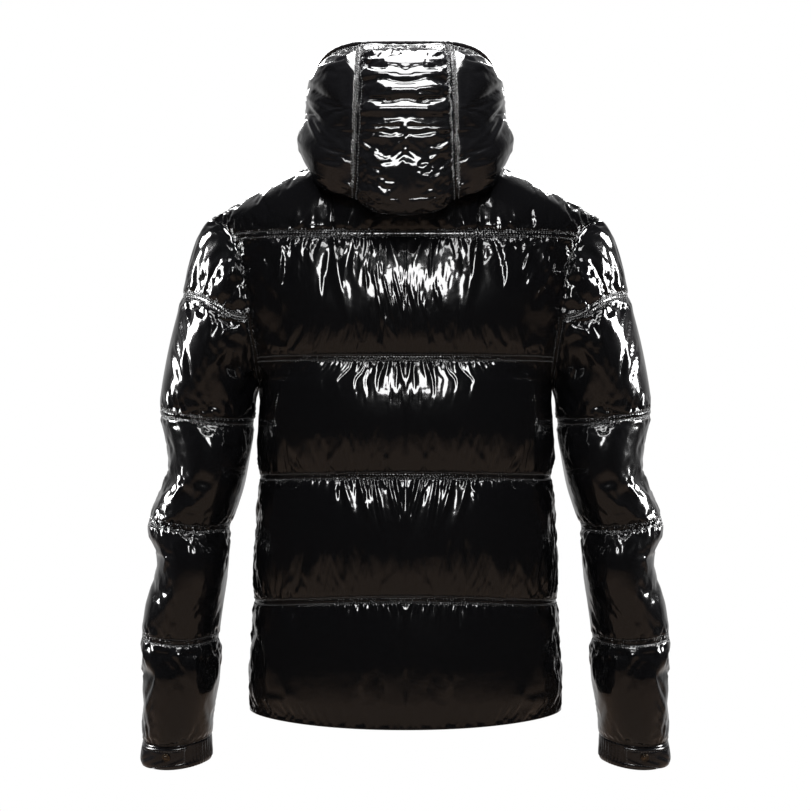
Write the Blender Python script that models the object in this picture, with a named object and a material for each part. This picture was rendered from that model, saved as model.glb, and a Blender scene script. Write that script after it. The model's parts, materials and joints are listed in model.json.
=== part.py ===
"""Hooded puffer jacket, filled out as if it were worn, zipped up, with its hood down.

Metres, +Z up. The origin is the middle of the neck base. The back faces -Y, the wearer looks
along +Y and the wearer's right is +X. The right half is worked out and mirrored for the left.
"""
import math

import bmesh
import bpy
import numpy as np

# ---- cloth ----
WALL = 0.003  # thickness of the padded cloth at a stitched line
MITRE_LEAST = 0.6  # cosine that limits how long the mitre of two walls gets at a sharp seam
ARMPIT_LEAN = 0.7  # how little the seam under the arm leans towards the sleeve
SEAM_GAP = 0.0003  # between two pieces that are sewn together
SEAM_TURN = 0.012  # how far from a seam the wall turns from the seam's direction to its own
SEAM_SAMPLES = 8  # points looked at between two points of a seam, to find the nearest
SLOPE_STEP = 1e-3  # step in the surface parameters for a slope

# ---- body: a row for each stitched line, and for the armpit ----
# station, z at the side, z at the centre, half width, depth of the back, depth of the front,
# and squareness, which is 2 for an ellipse
BODY_SECTIONS = np.array([
    [0.0, -0.661, -0.671, 0.1865, 0.125, 0.121, 2.4],
    [1.0, -0.529, -0.518, 0.1800, 0.129, 0.124, 2.5],
    [2.0, -0.379, -0.374, 0.1733, 0.127, 0.122, 2.6],
    [2.8, -0.264, -0.264, 0.1720, 0.126, 0.120, 2.8],
    [3.0, -0.237, -0.237, 0.1720, 0.125, 0.119, 2.9],
    [4.0, -0.092, -0.092, 0.1720, 0.110, 0.103, 3.0],
])
(STATION, SIDE_Z, CENTRE_Z, HALF_WIDTH, BACK_DEPTH, FRONT_DEPTH, SQUARENESS) = BODY_SECTIONS.T
ARMPIT, LINE_TWO, YOKE_LINE, TOP = 2.8, 3.0, 4.0, 5.0
# how far up each channel its rows of points lie
BODY_ROWS = (
    (0.0, 0.08, 0.28, 0.50, 0.72, 0.92),
    (0.0, 0.08, 0.28, 0.50, 0.72, 0.92),
    (0.0, 0.08, 0.25, 0.50, 0.80, 0.85, 0.90, 0.95),
    (0.0, 0.08, 0.28, 0.50, 0.72, 0.92),
    (0.0, 0.15, 0.50, 0.85),
)
BODY_COLUMNS = 24  # in half a body, from the centre to the side seam
NECK_COLUMNS = 10  # of them end at the neck seam and the rest at the shoulder seam
# height of each channel, hem first, of the back and of the fronts
BODY_PUFF = {-1: (0.009, 0.014, 0.015, 0.016, 0.009), 1: (0.009, 0.013, 0.014, 0.014, 0.006)}
# where the channels are squashed flat under the arm: stations, columns, and how flat
UNDER_ARM = {"low": (2.2, 2.6), "high": (3.2, 3.7), "across": (0.60, 0.92), "flat": 0.85}
SHOULDER = (0.234, 0.0, -0.068)  # outer end of the shoulder seam
# the yoke bends over at a point with this share of the yoke line's y, and this of its z
YOKE_BEND = {-1: (0.80, 0.25), 1: (0.60, 0.42)}
YOKE_FAN = {-1: 0.09, 1: 0.155}  # how far the columns fan out at the yoke line, round the neck

# ---- armhole ----
ARMHOLE_BOTTOM = -0.264
ARMHOLE_HEIGHT = SHOULDER[2] - ARMHOLE_BOTTOM
ARMHOLE_DEPTH = {-1: 0.078, 1: 0.071}  # of its back half and its front half
ARMHOLE_IN = 0.172  # half width at the armpit
ARMHOLE_LEAN = 0.032  # how much wider it lies at the top, but for its last curl outwards
ARMHOLE_HOLLOW = 0.004  # how much it bends inwards halfway up

# ---- sleeve: a row for each stitched line and each fold between them ----
# station, x and z of the outer edge, x and z of the inner edge, half depth, y of the middle
SLEEVE_SECTIONS = np.array([
    [2.00, 0.2915, -0.300, 0.1880, -0.312, 0.0640, -0.004],
    [2.30, 0.2765, -0.340, 0.1925, -0.350, 0.0650, -0.006],
    [2.62, 0.2780, -0.382, 0.1990, -0.390, 0.0610, -0.009],
    [2.86, 0.2945, -0.412, 0.2055, -0.420, 0.0570, -0.011],
    [3.00, 0.3035, -0.432, 0.2100, -0.438, 0.0550, -0.012],
    [3.30, 0.2910, -0.470, 0.2150, -0.475, 0.0560, -0.011],
    [3.60, 0.2940, -0.508, 0.2195, -0.512, 0.0545, -0.008],
    [3.82, 0.3065, -0.538, 0.2235, -0.540, 0.0520, -0.005],
    [4.00, 0.3135, -0.572, 0.2265, -0.573, 0.0500, -0.002],
    [4.35, 0.3095, -0.620, 0.2300, -0.616, 0.0500, 0.006],
    [4.70, 0.3115, -0.665, 0.2345, -0.658, 0.0480, 0.013],
    [5.00, 0.3190, -0.704, 0.2355, -0.696, 0.0430, 0.018],
    [6.00, 0.3170, -0.733, 0.2380, -0.726, 0.0415, 0.022],
])
(S_STATION, OUTER_X, OUTER_Z, INNER_X, INNER_Z, HALF_DEPTH, MIDDLE_Y) = SLEEVE_SECTIONS.T
SLEEVE_START, CUFF_SEAM, CUFF_END = 2.0, 5.0, 6.0
SLEEVE_ROWS = (
    (0.0, 0.10, 0.40, 0.80),
    (0.0, 0.10, 0.30, 0.55, 0.80, 0.94),
    (0.0, 0.10, 0.32, 0.60, 0.80, 0.93),
    (0.0, 0.10, 0.32, 0.60, 0.80, 0.93),
    (0.0, 0.08, 0.28, 0.50, 0.74, 0.92),
)
CUFF_ROWS = (0.0, 0.12, 0.5, 0.88)
SLEEVE_PUFF = {"outer": 0.0085, "depth": 0.013, "inner": 0.0035}
CAP_FILL = 0.35  # share of the outer height that is left over the shoulder
CAP_LINE = 0.42  # how far down the sleeve's first channel its stitched line lies, at the top
CAP_LINE_LEAST = 0.20  # and under the arm, where it runs into the armhole seam
CAP_LINE_END = -0.18  # cosine of the place round the armhole where it does
SIDE_SAG = 0.004  # how much lower the middle of a ring hangs than its edges

# ---- hood: a row for each ring, from the neck seam over a roll into the pouch and up ----
# back y, back z, side x, side y, side z, front y, front z, roundness
HOOD_RINGS = np.array([
    [-0.078, -0.004, 0.0820, -0.005, 0.0140, 0.0800, -0.061, 1.3],
    [-0.082, 0.010, 0.0835, -0.005, 0.0230, 0.0815, -0.052, 1.3],
    [-0.096, 0.018, 0.0870, -0.006, 0.0310, 0.0830, -0.043, 1.3],
    [-0.114, 0.009, 0.0920, -0.008, 0.0360, 0.0845, -0.035, 1.3],
    [-0.127, -0.018, 0.0970, -0.010, 0.0385, 0.0860, -0.027, 1.3],
    [-0.136, -0.046, 0.1015, -0.012, 0.0395, 0.0875, -0.020, 1.3],
    [-0.147, -0.062, 0.1050, -0.013, 0.0415, 0.0890, -0.013, 1.3],
    [-0.158, -0.051, 0.1075, -0.013, 0.0450, 0.0900, -0.007, 1.3],
    [-0.163, -0.018, 0.1090, -0.012, 0.0510, 0.0910, -0.001, 1.25],
    [-0.164, 0.020, 0.1100, -0.010, 0.0580, 0.0920, 0.005, 1.2],
    [-0.159, 0.058, 0.1095, -0.006, 0.0670, 0.0930, 0.011, 1.1],
    [-0.140, 0.098, 0.1085, 0.000, 0.0770, 0.0940, 0.017, 1.0],
    [-0.104, 0.126, 0.1055, 0.006, 0.0870, 0.0950, 0.023, 1.0],
])
NECK, POUCH, RIM = 0.0, 6.0, 12.0
RING_POWER = 0.75  # below 1 the rings are squarer than an ellipse
HOOD_ROWS = (0.0, 0.5, 1.0, 1.5, 2.0, 2.5, 3.0, 3.5, 4.0, 4.5, 5.0, 5.5, 6.0, 6.5, 7.0, 8.0,
             9.0, 10.0, 11.0, 11.6, 12.0)
HOOD_COLUMNS = 2 * NECK_COLUMNS  # from the centre of the back to the zip
CENTRE_COLUMNS = 4  # of them lie in half the centre panel
CENTRE_HALF_WIDTH = {"neck": 0.050, "pouch": 0.057, "rim": 0.051}
HOOD_PUFF = {"centre": 0.008, "side": 0.008, "front": 0.004}
BINDING = {"width": 0.009, "thickness": 0.0062, "sides": 8}

# ---- gathers along the stitched lines ----
BODY_GATHER = 0.0022  # height of a gather
BODY_GATHER_COLUMNS = 3  # columns from one gather to the next
SLEEVE_GATHER = 0.0024
SLEEVE_GATHER_COLUMNS = 4

# ---- front closing ----
ZIP_EDGE = 0.006  # half the space between the two fronts
TAPE = {"gap": 0.00015, "thickness": 0.0016, "lift": 0.0004, "end": 0.0035}
SLIDER = {"z": -0.004, "width": 0.009, "height": 0.013, "depth": 0.0045, "bevel": 0.0012,
          "gap": 0.0002}
BRIDGE = {"reach": 0.0036, "height": 0.0076, "wire": 0.0009, "root": 0.0012, "bar_back": 0.0022}
PULL = {"length": 0.030, "width": 0.0064, "thickness": 0.0016, "bar": 0.0007, "eye": 0.0042}

# ---- cuff closing ----
CUFF_TAB = {"from": 22.0, "to": 112.0, "low": 5.93, "high": 5.15, "thickness": 0.002, "columns": 8}
CUFF_SNAP = {"angle": 72.0, "station": 5.55, "radius": 0.0052, "height": 0.0024, "sides": 24}


# ---------------------------------------------------------------- curves and tables
def smooth(x, xs, ys):
    """Value at x of the cubic curve through the points (xs, ys)."""
    slopes = np.gradient(ys, xs)
    x = np.clip(x, xs[0], xs[-1])
    i = np.clip(np.searchsorted(xs, x, side="right") - 1, 0, len(xs) - 2)
    width = xs[i + 1] - xs[i]
    t = (x - xs[i]) / width
    start = (2 * t**3 - 3 * t**2 + 1) * ys[i] + (t**3 - 2 * t**2 + t) * width * slopes[i]
    end = (3 * t**2 - 2 * t**3) * ys[i + 1] + (t**3 - t**2) * width * slopes[i + 1]
    return start + end


def ramp(x, low, high):
    """0 below low, 1 above high, and a smooth step between."""
    t = np.clip((x - low) / (high - low), 0.0, 1.0)
    return t * t * (3 - 2 * t)


def unit(vectors):
    return vectors / np.maximum(np.linalg.norm(vectors, axis=-1, keepdims=True), 1e-12)


def stations(rows, end):
    """The station of each row of points, from a table of shares up each channel."""
    values = [channel + share for channel, shares in enumerate(rows) for share in shares]
    return np.array(values + [float(end)])


def puff_profile(share):
    """Height of a filled channel across its width, fullest below its middle."""
    return np.sin(math.pi * np.clip(share, 0, 1) ** 0.88) ** 0.65


# ---------------------------------------------------------------- surfaces: the plain inside
def armhole(side, turn):
    """Point of the right armhole at a turn from the shoulder (0) to the armpit (180 degrees)."""
    share = (1 + np.cos(turn)) / 2
    x = ARMHOLE_IN + ARMHOLE_LEAN * share
    x = x + (SHOULDER[0] - ARMHOLE_IN - ARMHOLE_LEAN) * share**12
    x = x - ARMHOLE_HOLLOW * np.sin(turn) ** 2
    y = side * ARMHOLE_DEPTH[side] * np.sin(turn)
    z = ARMHOLE_BOTTOM + ARMHOLE_HEIGHT * share
    return np.stack([x, y, z], axis=-1)


def armhole_turn(station):
    """Turn round the armhole at which a row of the body ends."""
    heights = np.interp([LINE_TWO, YOKE_LINE], STATION, SIDE_Z)
    line_turns = np.arccos(2 * (heights - ARMHOLE_BOTTOM) / ARMHOLE_HEIGHT - 1)
    return np.interp(station, [ARMPIT, LINE_TWO, YOKE_LINE, TOP], [math.pi, *line_turns, 0.0])


def hood_point(angle, level):
    """Inside of the hood at an angle from the centre back (0) to the centre front (180)."""
    levels = np.arange(len(HOOD_RINGS), dtype=float)
    (back_y, back_z, side_x, side_y, side_z, front_y, front_z, power) = [
        smooth(level, levels, column) for column in HOOD_RINGS.T]
    reach = np.abs(np.cos(angle))
    behind = np.cos(angle) > 0
    end_y = np.where(behind, back_y, front_y)
    end_z = np.where(behind, back_z, front_z)
    x = side_x * np.abs(np.sin(angle)) ** RING_POWER
    y = side_y + (end_y - side_y) * reach
    z = side_z + (end_z - side_z) * reach**power
    return np.stack([x, y, z], axis=-1)


def hood_angle(share, level):
    """Angle of a column of the hood: share 0 is the centre back and 1 is the zip."""
    levels = np.arange(len(HOOD_RINGS), dtype=float)
    side_x = smooth(level, levels, HOOD_RINGS[:, 2])
    half = np.interp(level, [NECK, POUCH, RIM], list(CENTRE_HALF_WIDTH.values()))
    seam_share = CENTRE_COLUMNS / HOOD_COLUMNS
    within = np.minimum(share / seam_share, 1.0) * half / side_x
    seam = np.arcsin((half / side_x) ** (1 / RING_POWER))
    front = math.pi - np.arcsin((ZIP_EDGE / side_x) ** (1 / RING_POWER))
    centre = np.arcsin(within ** (1 / RING_POWER))
    rear = seam + (math.pi / 2 - seam) * (share - seam_share) / (0.5 - seam_share)
    fore = math.pi / 2 + (front - math.pi / 2) * (share - 0.5) / 0.5
    return np.where(share <= seam_share, centre, np.where(share <= 0.5, rear, fore))


def hood_surface(share, level):
    return hood_point(hood_angle(np.abs(share), level), level) * sign_of_x(share)


def sign_of_x(share):
    mirror = np.ones(np.shape(share) + (3,))
    mirror[..., 0] = np.where(share < 0, -1.0, 1.0)
    return mirror


def top_line(side, u):
    """Upper edge of half a body panel: the neck seam, then the shoulder seam."""
    neck_share = NECK_COLUMNS / BODY_COLUMNS
    along_neck = 0.5 * np.minimum(u / neck_share, 1.0)
    share = along_neck if side < 0 else 1.0 - along_neck
    neck = hood_surface(share, np.full(np.shape(u), NECK))
    neck_point = HOOD_RINGS[0][[2, 3, 4]]
    along = np.clip((u - neck_share) / (1 - neck_share), 0, 1)[..., None]
    shoulder = neck_point + (np.array(SHOULDER) - neck_point) * along
    return np.where((u <= neck_share)[..., None], neck, shoulder)


def body_row(side, u, station):
    """Inside of half a body panel up to the yoke line; u is 0 at the centre and 1 at the side."""
    depth = smooth(station, STATION, BACK_DEPTH if side < 0 else FRONT_DEPTH)
    power = smooth(station, STATION, SQUARENESS)
    centre_z = smooth(station, STATION, CENTRE_Z)
    edge = armhole(side, armhole_turn(station))
    below = station < ARMPIT
    end_x = np.where(below, smooth(station, STATION, HALF_WIDTH), edge[..., 0])
    end_y = np.where(below, 0.0, np.abs(edge[..., 1]))
    end_z = np.where(below, smooth(station, STATION, SIDE_Z), edge[..., 2])
    half_width = end_x / (1 - (end_y / depth) ** power) ** (1 / power)
    start = 0.0 if side < 0 else np.arctan(ZIP_EDGE / depth)
    fanned = u + YOKE_FAN[side] * ramp(station, LINE_TWO, YOKE_LINE) * np.sin(math.pi * u)
    angle = start + fanned * (np.arctan2(end_x, end_y) - start)
    sine, cosine = np.sin(angle), np.abs(np.cos(angle))
    radius = ((sine / half_width) ** power + (cosine / depth) ** power) ** (-1 / power)
    x = radius * sine
    y = radius * cosine
    z = end_z + (centre_z - end_z) * (1 - (x / end_x) ** 2)
    return np.stack([x, side * y, z], axis=-1)


def body_surface(side, u, station):
    """Inside of half a body panel, with its yoke."""
    t = np.clip(station - YOKE_LINE, 0, 1)[..., None]
    bend = np.array([0.5, *YOKE_BEND[side]])

    def yoke(low, high):
        return (1 - t) ** 2 * low + 2 * t * (1 - t) * (bend * low + (1 - bend) * high) + t**2 * high

    point = yoke(body_row(side, u, np.minimum(station, YOKE_LINE)), top_line(side, u))
    end = yoke(armhole(side, armhole_turn(YOKE_LINE)), np.array(SHOULDER))
    to_armhole = armhole(side, armhole_turn(station)) - end
    return point + np.where(t > 0, to_armhole * (u**5)[..., None], 0.0)


def sleeve_ring(turn, station):
    """Inside of the right sleeve and cuff below the first full ring."""
    columns = [smooth(station, S_STATION, c) for c in SLEEVE_SECTIONS.T[1:]]
    outer_x, outer_z, inner_x, inner_z, half_depth, middle_y = columns
    across = np.cos(turn)
    x = (outer_x + inner_x) / 2 + (outer_x - inner_x) / 2 * across
    y = middle_y - half_depth * np.sin(turn)
    z = (outer_z + inner_z) / 2 + (outer_z - inner_z) / 2 * across - SIDE_SAG * np.sin(turn) ** 2
    return np.stack([x, y, z], axis=-1)


def sleeve_surface(turn, station):
    """Inside of the right sleeve; turn is 0 at the top, 90 at the back and 180 under the arm."""
    behind = (np.sin(turn) >= 0)[..., None]
    folded = np.arccos(np.clip(np.cos(turn), -1, 1))
    start = np.where(behind, armhole(-1, folded), armhole(1, folded))
    ring = sleeve_ring(turn, np.maximum(station, SLEEVE_START))
    join = sleeve_ring(turn, np.full(np.shape(turn), SLEEVE_START))
    top = (((1 + np.cos(turn)) / 2) ** 2)[..., None]
    leaving = unit(top * np.array([0.60, 0, -0.80]) + (1 - top) * np.array([0.97, 0, -0.25]))
    arriving = unit(top * np.array([0.16, 0, -1.0]) + (1 - top) * np.array([0.05, 0, -1.0]))
    reach = np.linalg.norm(join - start, axis=-1, keepdims=True)
    first = start + leaving * reach * (0.30 - 0.08 * top)
    second = join - arriving * reach * (0.38 - 0.04 * top)
    line = np.clip((np.cos(turn) - CAP_LINE_END) / (1 - CAP_LINE_END), 0, 1)
    line = CAP_LINE_LEAST + (CAP_LINE - CAP_LINE_LEAST) * line**0.8
    t = np.where(station <= 1, line * station, line + (1 - line) * (station - 1))
    t = np.clip(t, 0, 1)[..., None]
    cap = ((1 - t) ** 3 * start + 3 * t * (1 - t) ** 2 * first
           + 3 * t**2 * (1 - t) * second + t**3 * join)
    return np.where((station < SLEEVE_START)[..., None], cap, ring)


def normals(surface, u, v, lows, highs):
    """Unit normals of a surface, on the side that u to v turns round by the right-hand rule."""
    def slope(du, dv):
        u_up, u_down = np.minimum(u + du, highs[0]), np.maximum(u - du, lows[0])
        v_up, v_down = np.minimum(v + dv, highs[1]), np.maximum(v - dv, lows[1])
        return surface(u_up, v_up) - surface(u_down, v_down)
    return unit(np.cross(slope(SLOPE_STEP, 0), slope(0, SLOPE_STEP)))


# ---------------------------------------------------------------- thickness: the quilting
def gather_height(column, columns_each, height, line, share):
    """Uneven gathers that stand across a stitched line and fade out beside it."""
    wave = np.cos(2 * math.pi * column / columns_each)
    uneven = 0.7 + 0.3 * np.sin(1.7 * column + 2.3 * line)
    beside = np.sin(math.pi * np.clip(share / 0.3, 0, 1)) + np.sin(
        math.pi * np.clip((1 - share) / 0.3, 0, 1))
    return height * wave * uneven * beside


def body_thickness(side, u, station, column):
    channel = np.minimum(np.floor(station), YOKE_LINE).astype(int)
    share = station - channel
    height = np.array(BODY_PUFF[side])[channel]
    to_seam = 1 - np.abs(u) ** 6
    hem = np.where(channel == 0, ramp(share, 0.0, 0.2), 1.0)
    squashed = ramp(station, *UNDER_ARM["low"]) - ramp(station, *UNDER_ARM["high"])
    flat = 1 - UNDER_ARM["flat"] * squashed * ramp(u, *UNDER_ARM["across"])
    gathers = gather_height(column, BODY_GATHER_COLUMNS, BODY_GATHER, channel, share)
    height = height * puff_profile(share) * hem + gathers * ramp(1 - u, 0.0, 0.1)
    return WALL + height * to_seam * flat


def sleeve_thickness(turn, station, column):
    channel = np.minimum(np.floor(station), CUFF_SEAM - 1)
    share = station - channel
    across = np.cos(turn)
    outer = SLEEVE_PUFF["outer"] * (CAP_FILL + (1 - CAP_FILL) * ramp(station, 1.0, 2.2))
    side = np.where(across > 0, outer, SLEEVE_PUFF["inner"])
    height = SLEEVE_PUFF["depth"] * np.sin(turn) ** 2 + side * across**2
    cap = np.where(channel == 0, ramp(across, CAP_LINE_END, 0.6), 1.0)
    under_arm = 1 - UNDER_ARM["flat"] * ramp(-across, -0.1, 0.7) * (1 - ramp(station, 1.5, 2.2))
    gathers = gather_height(column, SLEEVE_GATHER_COLUMNS, SLEEVE_GATHER, channel, share)
    return WALL + (height * puff_profile(share) * cap + gathers * ramp(channel, 0, 1)) * under_arm


def hood_thickness(share, level):
    seam_share = CENTRE_COLUMNS / HOOD_COLUMNS
    centre = HOOD_PUFF["centre"] * (1 - np.clip(share / seam_share, 0, 1) ** 4)
    across = np.clip((share - seam_share) / (1 - seam_share), 0, 1)
    height = HOOD_PUFF["side"] + (HOOD_PUFF["front"] - HOOD_PUFF["side"]) * ramp(across, 0.3, 0.7)
    sides = height * np.clip(4 * across, 0, 1) ** 0.5 * np.clip(12 * (1 - across), 0, 1) ** 0.5
    body = np.where(share <= seam_share, centre, sides)
    back_share = ramp(level, 5.0, 7.0)
    front_share = ramp(level, 1.0, 5.0)
    filled = back_share + (front_share - back_share) * ramp(share, 0.6, 0.9)
    return WALL + body * filled * (1 - ramp(level, 11.0, 11.8))


# ---------------------------------------------------------------- meshes
def add_object(name, vertices, faces, material, smooth_faces=True):
    mesh = bpy.data.meshes.new(name)
    mesh.from_pydata([tuple(v) for v in vertices], [], faces)
    mesh.update()
    if smooth_faces:
        mesh.polygons.foreach_set("use_smooth", [True] * len(mesh.polygons))
    mesh.materials.append(material)
    obj = bpy.data.objects.new(name, mesh)
    bpy.context.scene.collection.objects.link(obj)
    return obj


def recalculate(obj):
    """Turn the faces of a closed body outwards."""
    shape = bmesh.new()
    shape.from_mesh(obj.data)
    bmesh.ops.recalc_face_normals(shape, faces=shape.faces)
    shape.to_mesh(obj.data)
    shape.free()


def picks(count, closed, step):
    """Every step-th point of an edge, with both its ends."""
    chosen = list(range(0, count, step))
    if not closed and chosen[-1] != count - 1:
        chosen.append(count - 1)
    return chosen


def strip(fine, coarse, chosen):
    """Faces between an edge of the outer points and the coarser edge of the inside."""
    faces = []
    for k in range(len(coarse) - 1):
        low, high = chosen[k], chosen[k + 1]
        middle = (low + high) // 2
        faces += [(fine[i], fine[i + 1], coarse[k]) for i in range(low, middle)]
        faces.append((fine[middle], coarse[k + 1], coarse[k]))
        faces += [(fine[i], fine[i + 1], coarse[k + 1]) for i in range(middle, high)]
    return faces


def raised_halves(quads, vertices):
    """Split each quad in two along the diagonal that stands out further, so walls keep thick."""
    a, b, c, d = (vertices[quads[:, k]] for k in range(4))
    height = np.sum((a + c - b - d) * np.cross(c - a, d - b), axis=-1)
    turned = np.where((height > 0)[:, None], quads, np.roll(quads, -1, axis=1))
    return turned[:, [0, 1, 2]].tolist() + turned[:, [0, 2, 3]].tolist()


def wall(name, outer, inner, material, closed=False, step=2):
    """A wall from a grid of outer points and a grid of the inside, which keeps every step-th point."""
    rows, columns = outer.shape[:2]
    row_picks, column_picks = picks(rows, False, step), picks(columns, closed, step)
    inner = inner[row_picks][:, column_picks]
    vertices = np.concatenate([outer.reshape(-1, 3), inner.reshape(-1, 3)])
    out = np.arange(rows * columns).reshape(rows, columns)
    ins = rows * columns + np.arange(len(row_picks) * len(column_picks)).reshape(len(row_picks), -1)
    if closed:
        out = np.hstack([out, out[:, :1]])
        ins = np.hstack([ins, ins[:, :1]])
        column_picks = column_picks + [columns]
    faces = []
    for grid in (out, ins[:, ::-1]):
        quads = np.stack([grid[:-1, :-1], grid[:-1, 1:], grid[1:, 1:], grid[1:, :-1]], axis=-1)
        faces += raised_halves(quads.reshape(-1, 4), vertices)
    faces += [face[::-1] for face in strip(out[0], ins[0], column_picks)]
    faces += strip(out[-1], ins[-1], column_picks)
    if not closed:
        faces += strip(out[:, 0], ins[:, 0], row_picks)
        faces += [face[::-1] for face in strip(out[:, -1], ins[:, -1], row_picks)]
    faces = [tuple(int(i) for i in face) for face in faces]
    return add_object(name, vertices, faces, material)


def side_of(grid, edge, depth=0):
    """The row or column of a grid along one of its edges, or depth further in."""
    return {"low": grid[depth], "high": grid[-1 - depth],
            "left": grid[:, depth], "right": grid[:, -1 - depth]}[edge]


def pull_in(grid, edge):
    """Move one edge of a grid into the piece, square to the edge, by half a seam gap."""
    moved = grid.copy()
    target, beside = side_of(moved, edge), side_of(grid, edge, 1)
    steps = unit(np.diff(target, axis=0))
    along = unit(np.concatenate([steps[:1], steps[1:] + steps[:-1], steps[-1:]]))
    inward = beside - target
    inward -= np.sum(inward * along, axis=-1, keepdims=True) * along
    target += unit(inward) * SEAM_GAP / 2
    return moved


def pulled_in(grids, edges):
    result = []
    for grid in grids:
        for edge in edges:
            grid = pull_in(grid, edge)
        result.append(grid)
    return result


def mirrored(grid):
    """The same grid on the other side of the body, with its columns turned round to face out."""
    return grid[:, ::-1] * np.array([-1.0, 1.0, 1.0])


def both_halves(grid):
    return np.concatenate([mirrored(grid), grid[:, 1:]], axis=1)


# ---------------------------------------------------------------- materials
def make_material(name, color, roughness, metallic=0.0):
    material = bpy.data.materials.new(name)
    material.use_nodes = True
    shader = material.node_tree.nodes["Principled BSDF"]
    shader.inputs["Base Color"].default_value = (*color, 1.0)
    shader.inputs["Roughness"].default_value = roughness
    shader.inputs["Metallic"].default_value = metallic
    return material


# ---------------------------------------------------------------- the padded pieces
def body_grids(side):
    """Stations, inside points and normals of half the back (side -1) or a front (side +1)."""
    rows = stations(BODY_ROWS, TOP)
    u, station = np.meshgrid(np.linspace(0, 1, BODY_COLUMNS + 1), rows)
    inside = body_surface(side, u, station)
    surface = lambda a, b: body_surface(side, a, b)
    out = normals(surface, u, station, (0.0, 0.0), (1.0, TOP)) * -side
    column = np.arange(BODY_COLUMNS + 1)[None, :]
    return inside, out, body_thickness(side, u, station, column)


def sleeve_grids(end_rows):
    """Inside points, normals and thickness of the right sleeve, and the turn of each column."""
    body_rows = stations(BODY_ROWS, TOP)
    half = armhole_turn(body_rows[body_rows >= ARMPIT])
    turns = np.concatenate([half, 2 * math.pi - half[-2:0:-1]])
    turn, station = np.meshgrid(turns, end_rows)
    inside = sleeve_surface(turn, station)
    out = normals(sleeve_surface, turn, station, (-10.0, 0.0), (10.0, CUFF_END))
    return inside, out, turn, station


def hood_grids():
    share, level = np.meshgrid(np.linspace(0, 1, HOOD_COLUMNS + 1), HOOD_ROWS)
    inside = hood_surface(share, level)
    out = normals(hood_surface, share, level, (-1.0, NECK), (1.0, RIM))
    return inside, out, hood_thickness(share, level)


def mitre(first, second, lean=1.0):
    """Direction and length of the mitre where walls that face these two ways are sewn together."""
    middle = unit(first + second * np.asarray(lean)[..., None])
    cosine = np.sum(middle * first, axis=-1)
    return [middle, WALL / np.clip(cosine, MITRE_LEAST, 1.0)]


def join_seams(back, front, sleeve, hood, turn):
    """Give the pieces that meet at a seam the same direction and thickness there."""
    rows = stations(BODY_ROWS, TOP)
    first = int(np.searchsorted(rows, ARMPIT - 1e-9))
    hole = len(rows) - first
    neck = NECK_COLUMNS
    back_n, front_n, ring, collar = back[1], front[1], sleeve[1][0], hood[1][0]
    lean = ARMPIT_LEAN + (1 - ARMPIT_LEAN) * ramp(np.cos(turn[:hole]), -1.0, 0.2)
    front_ring = np.concatenate([ring[:1], ring[:hole - 2:-1]])
    back_edge = mitre(back_n[first:, -1], ring[:hole], lean)
    front_edge = mitre(front_n[first:, -1], front_ring, lean)
    shoulder = mitre(back_n[-1, neck:], front_n[-1, neck:])
    back_neck = mitre(back_n[-1, :neck + 1], collar[:neck + 1])
    front_neck = mitre(front_n[-1, :neck + 1], collar[neck:][::-1])
    top = mitre(unit(back_n[-1, -1] + front_n[-1, -1]), ring[hole - 1])
    bottom = mitre(unit(back_n[first, -1] + front_n[first, -1]), ring[0], ARMPIT_LEAN)
    side_neck = mitre(unit(back_n[-1, neck] + front_n[-1, neck]), collar[neck])
    for seam, end, corner in ((back_edge, -1, top), (front_edge, -1, top), (shoulder, -1, top),
                              (back_edge, 0, bottom), (front_edge, 0, bottom),
                              (back_neck, -1, side_neck), (front_neck, -1, side_neck),
                              (shoulder, 0, side_neck)):
        seam[0][end], seam[1][end] = corner
    for kind in (0, 1):
        for piece, edge, neckline in ((back, back_edge, back_neck), (front, front_edge, front_neck)):
            piece[kind + 1][first:, -1] = edge[kind]
            piece[kind + 1][-1, neck:] = shoulder[kind]
            piece[kind + 1][-1, :neck + 1] = neckline[kind]
        sleeve[kind + 1][0, :hole] = back_edge[kind]
        sleeve[kind + 1][0, hole - 1:] = front_edge[kind][::-1][:-1]
        hood[kind + 1][0, :neck + 1] = back_neck[kind]
        hood[kind + 1][0, neck:] = front_neck[kind][::-1]


def turn_to_seam(piece, edge):
    """Turn a wall's direction and thickness smoothly into those of the nearest point of an edge."""
    inside, out, thick = piece
    seam, seam_out, seam_thick = (side_of(grid, edge) for grid in piece)
    fine = np.linspace(0, len(seam) - 1, SEAM_SAMPLES * (len(seam) - 1) + 1)
    whole = np.arange(len(seam))
    along = np.stack([np.interp(fine, whole, seam[:, k]) for k in range(3)], axis=-1)
    distance = np.linalg.norm(inside[:, :, None] - along, axis=-1)
    nearest = fine[np.argmin(distance, axis=-1)]
    direction = np.stack([np.interp(nearest, whole, seam_out[:, k]) for k in range(3)], axis=-1)
    near = 1 - ramp(np.min(distance, axis=-1), 0.0, SEAM_TURN)
    piece[1] = unit(out * (1 - near[..., None]) + unit(direction) * near[..., None])
    piece[2] = thick * (1 - near) + np.interp(nearest, whole, seam_thick) * near


def outside(piece):
    return piece[0] + piece[1] * piece[2][..., None]


def build_body(back, front, material):
    grids = pulled_in([both_halves(outside(back)), both_halves(back[0])],
                      ["left", "right", "high"])
    wall("back", *grids, material)
    outer, inner = pulled_in([outside(front), front[0]], ["right", "high"])
    wall("front_right", outer[:, ::-1], inner[:, ::-1], material)
    wall("front_left", mirrored(outer)[:, ::-1], mirrored(inner)[:, ::-1], material)


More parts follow.
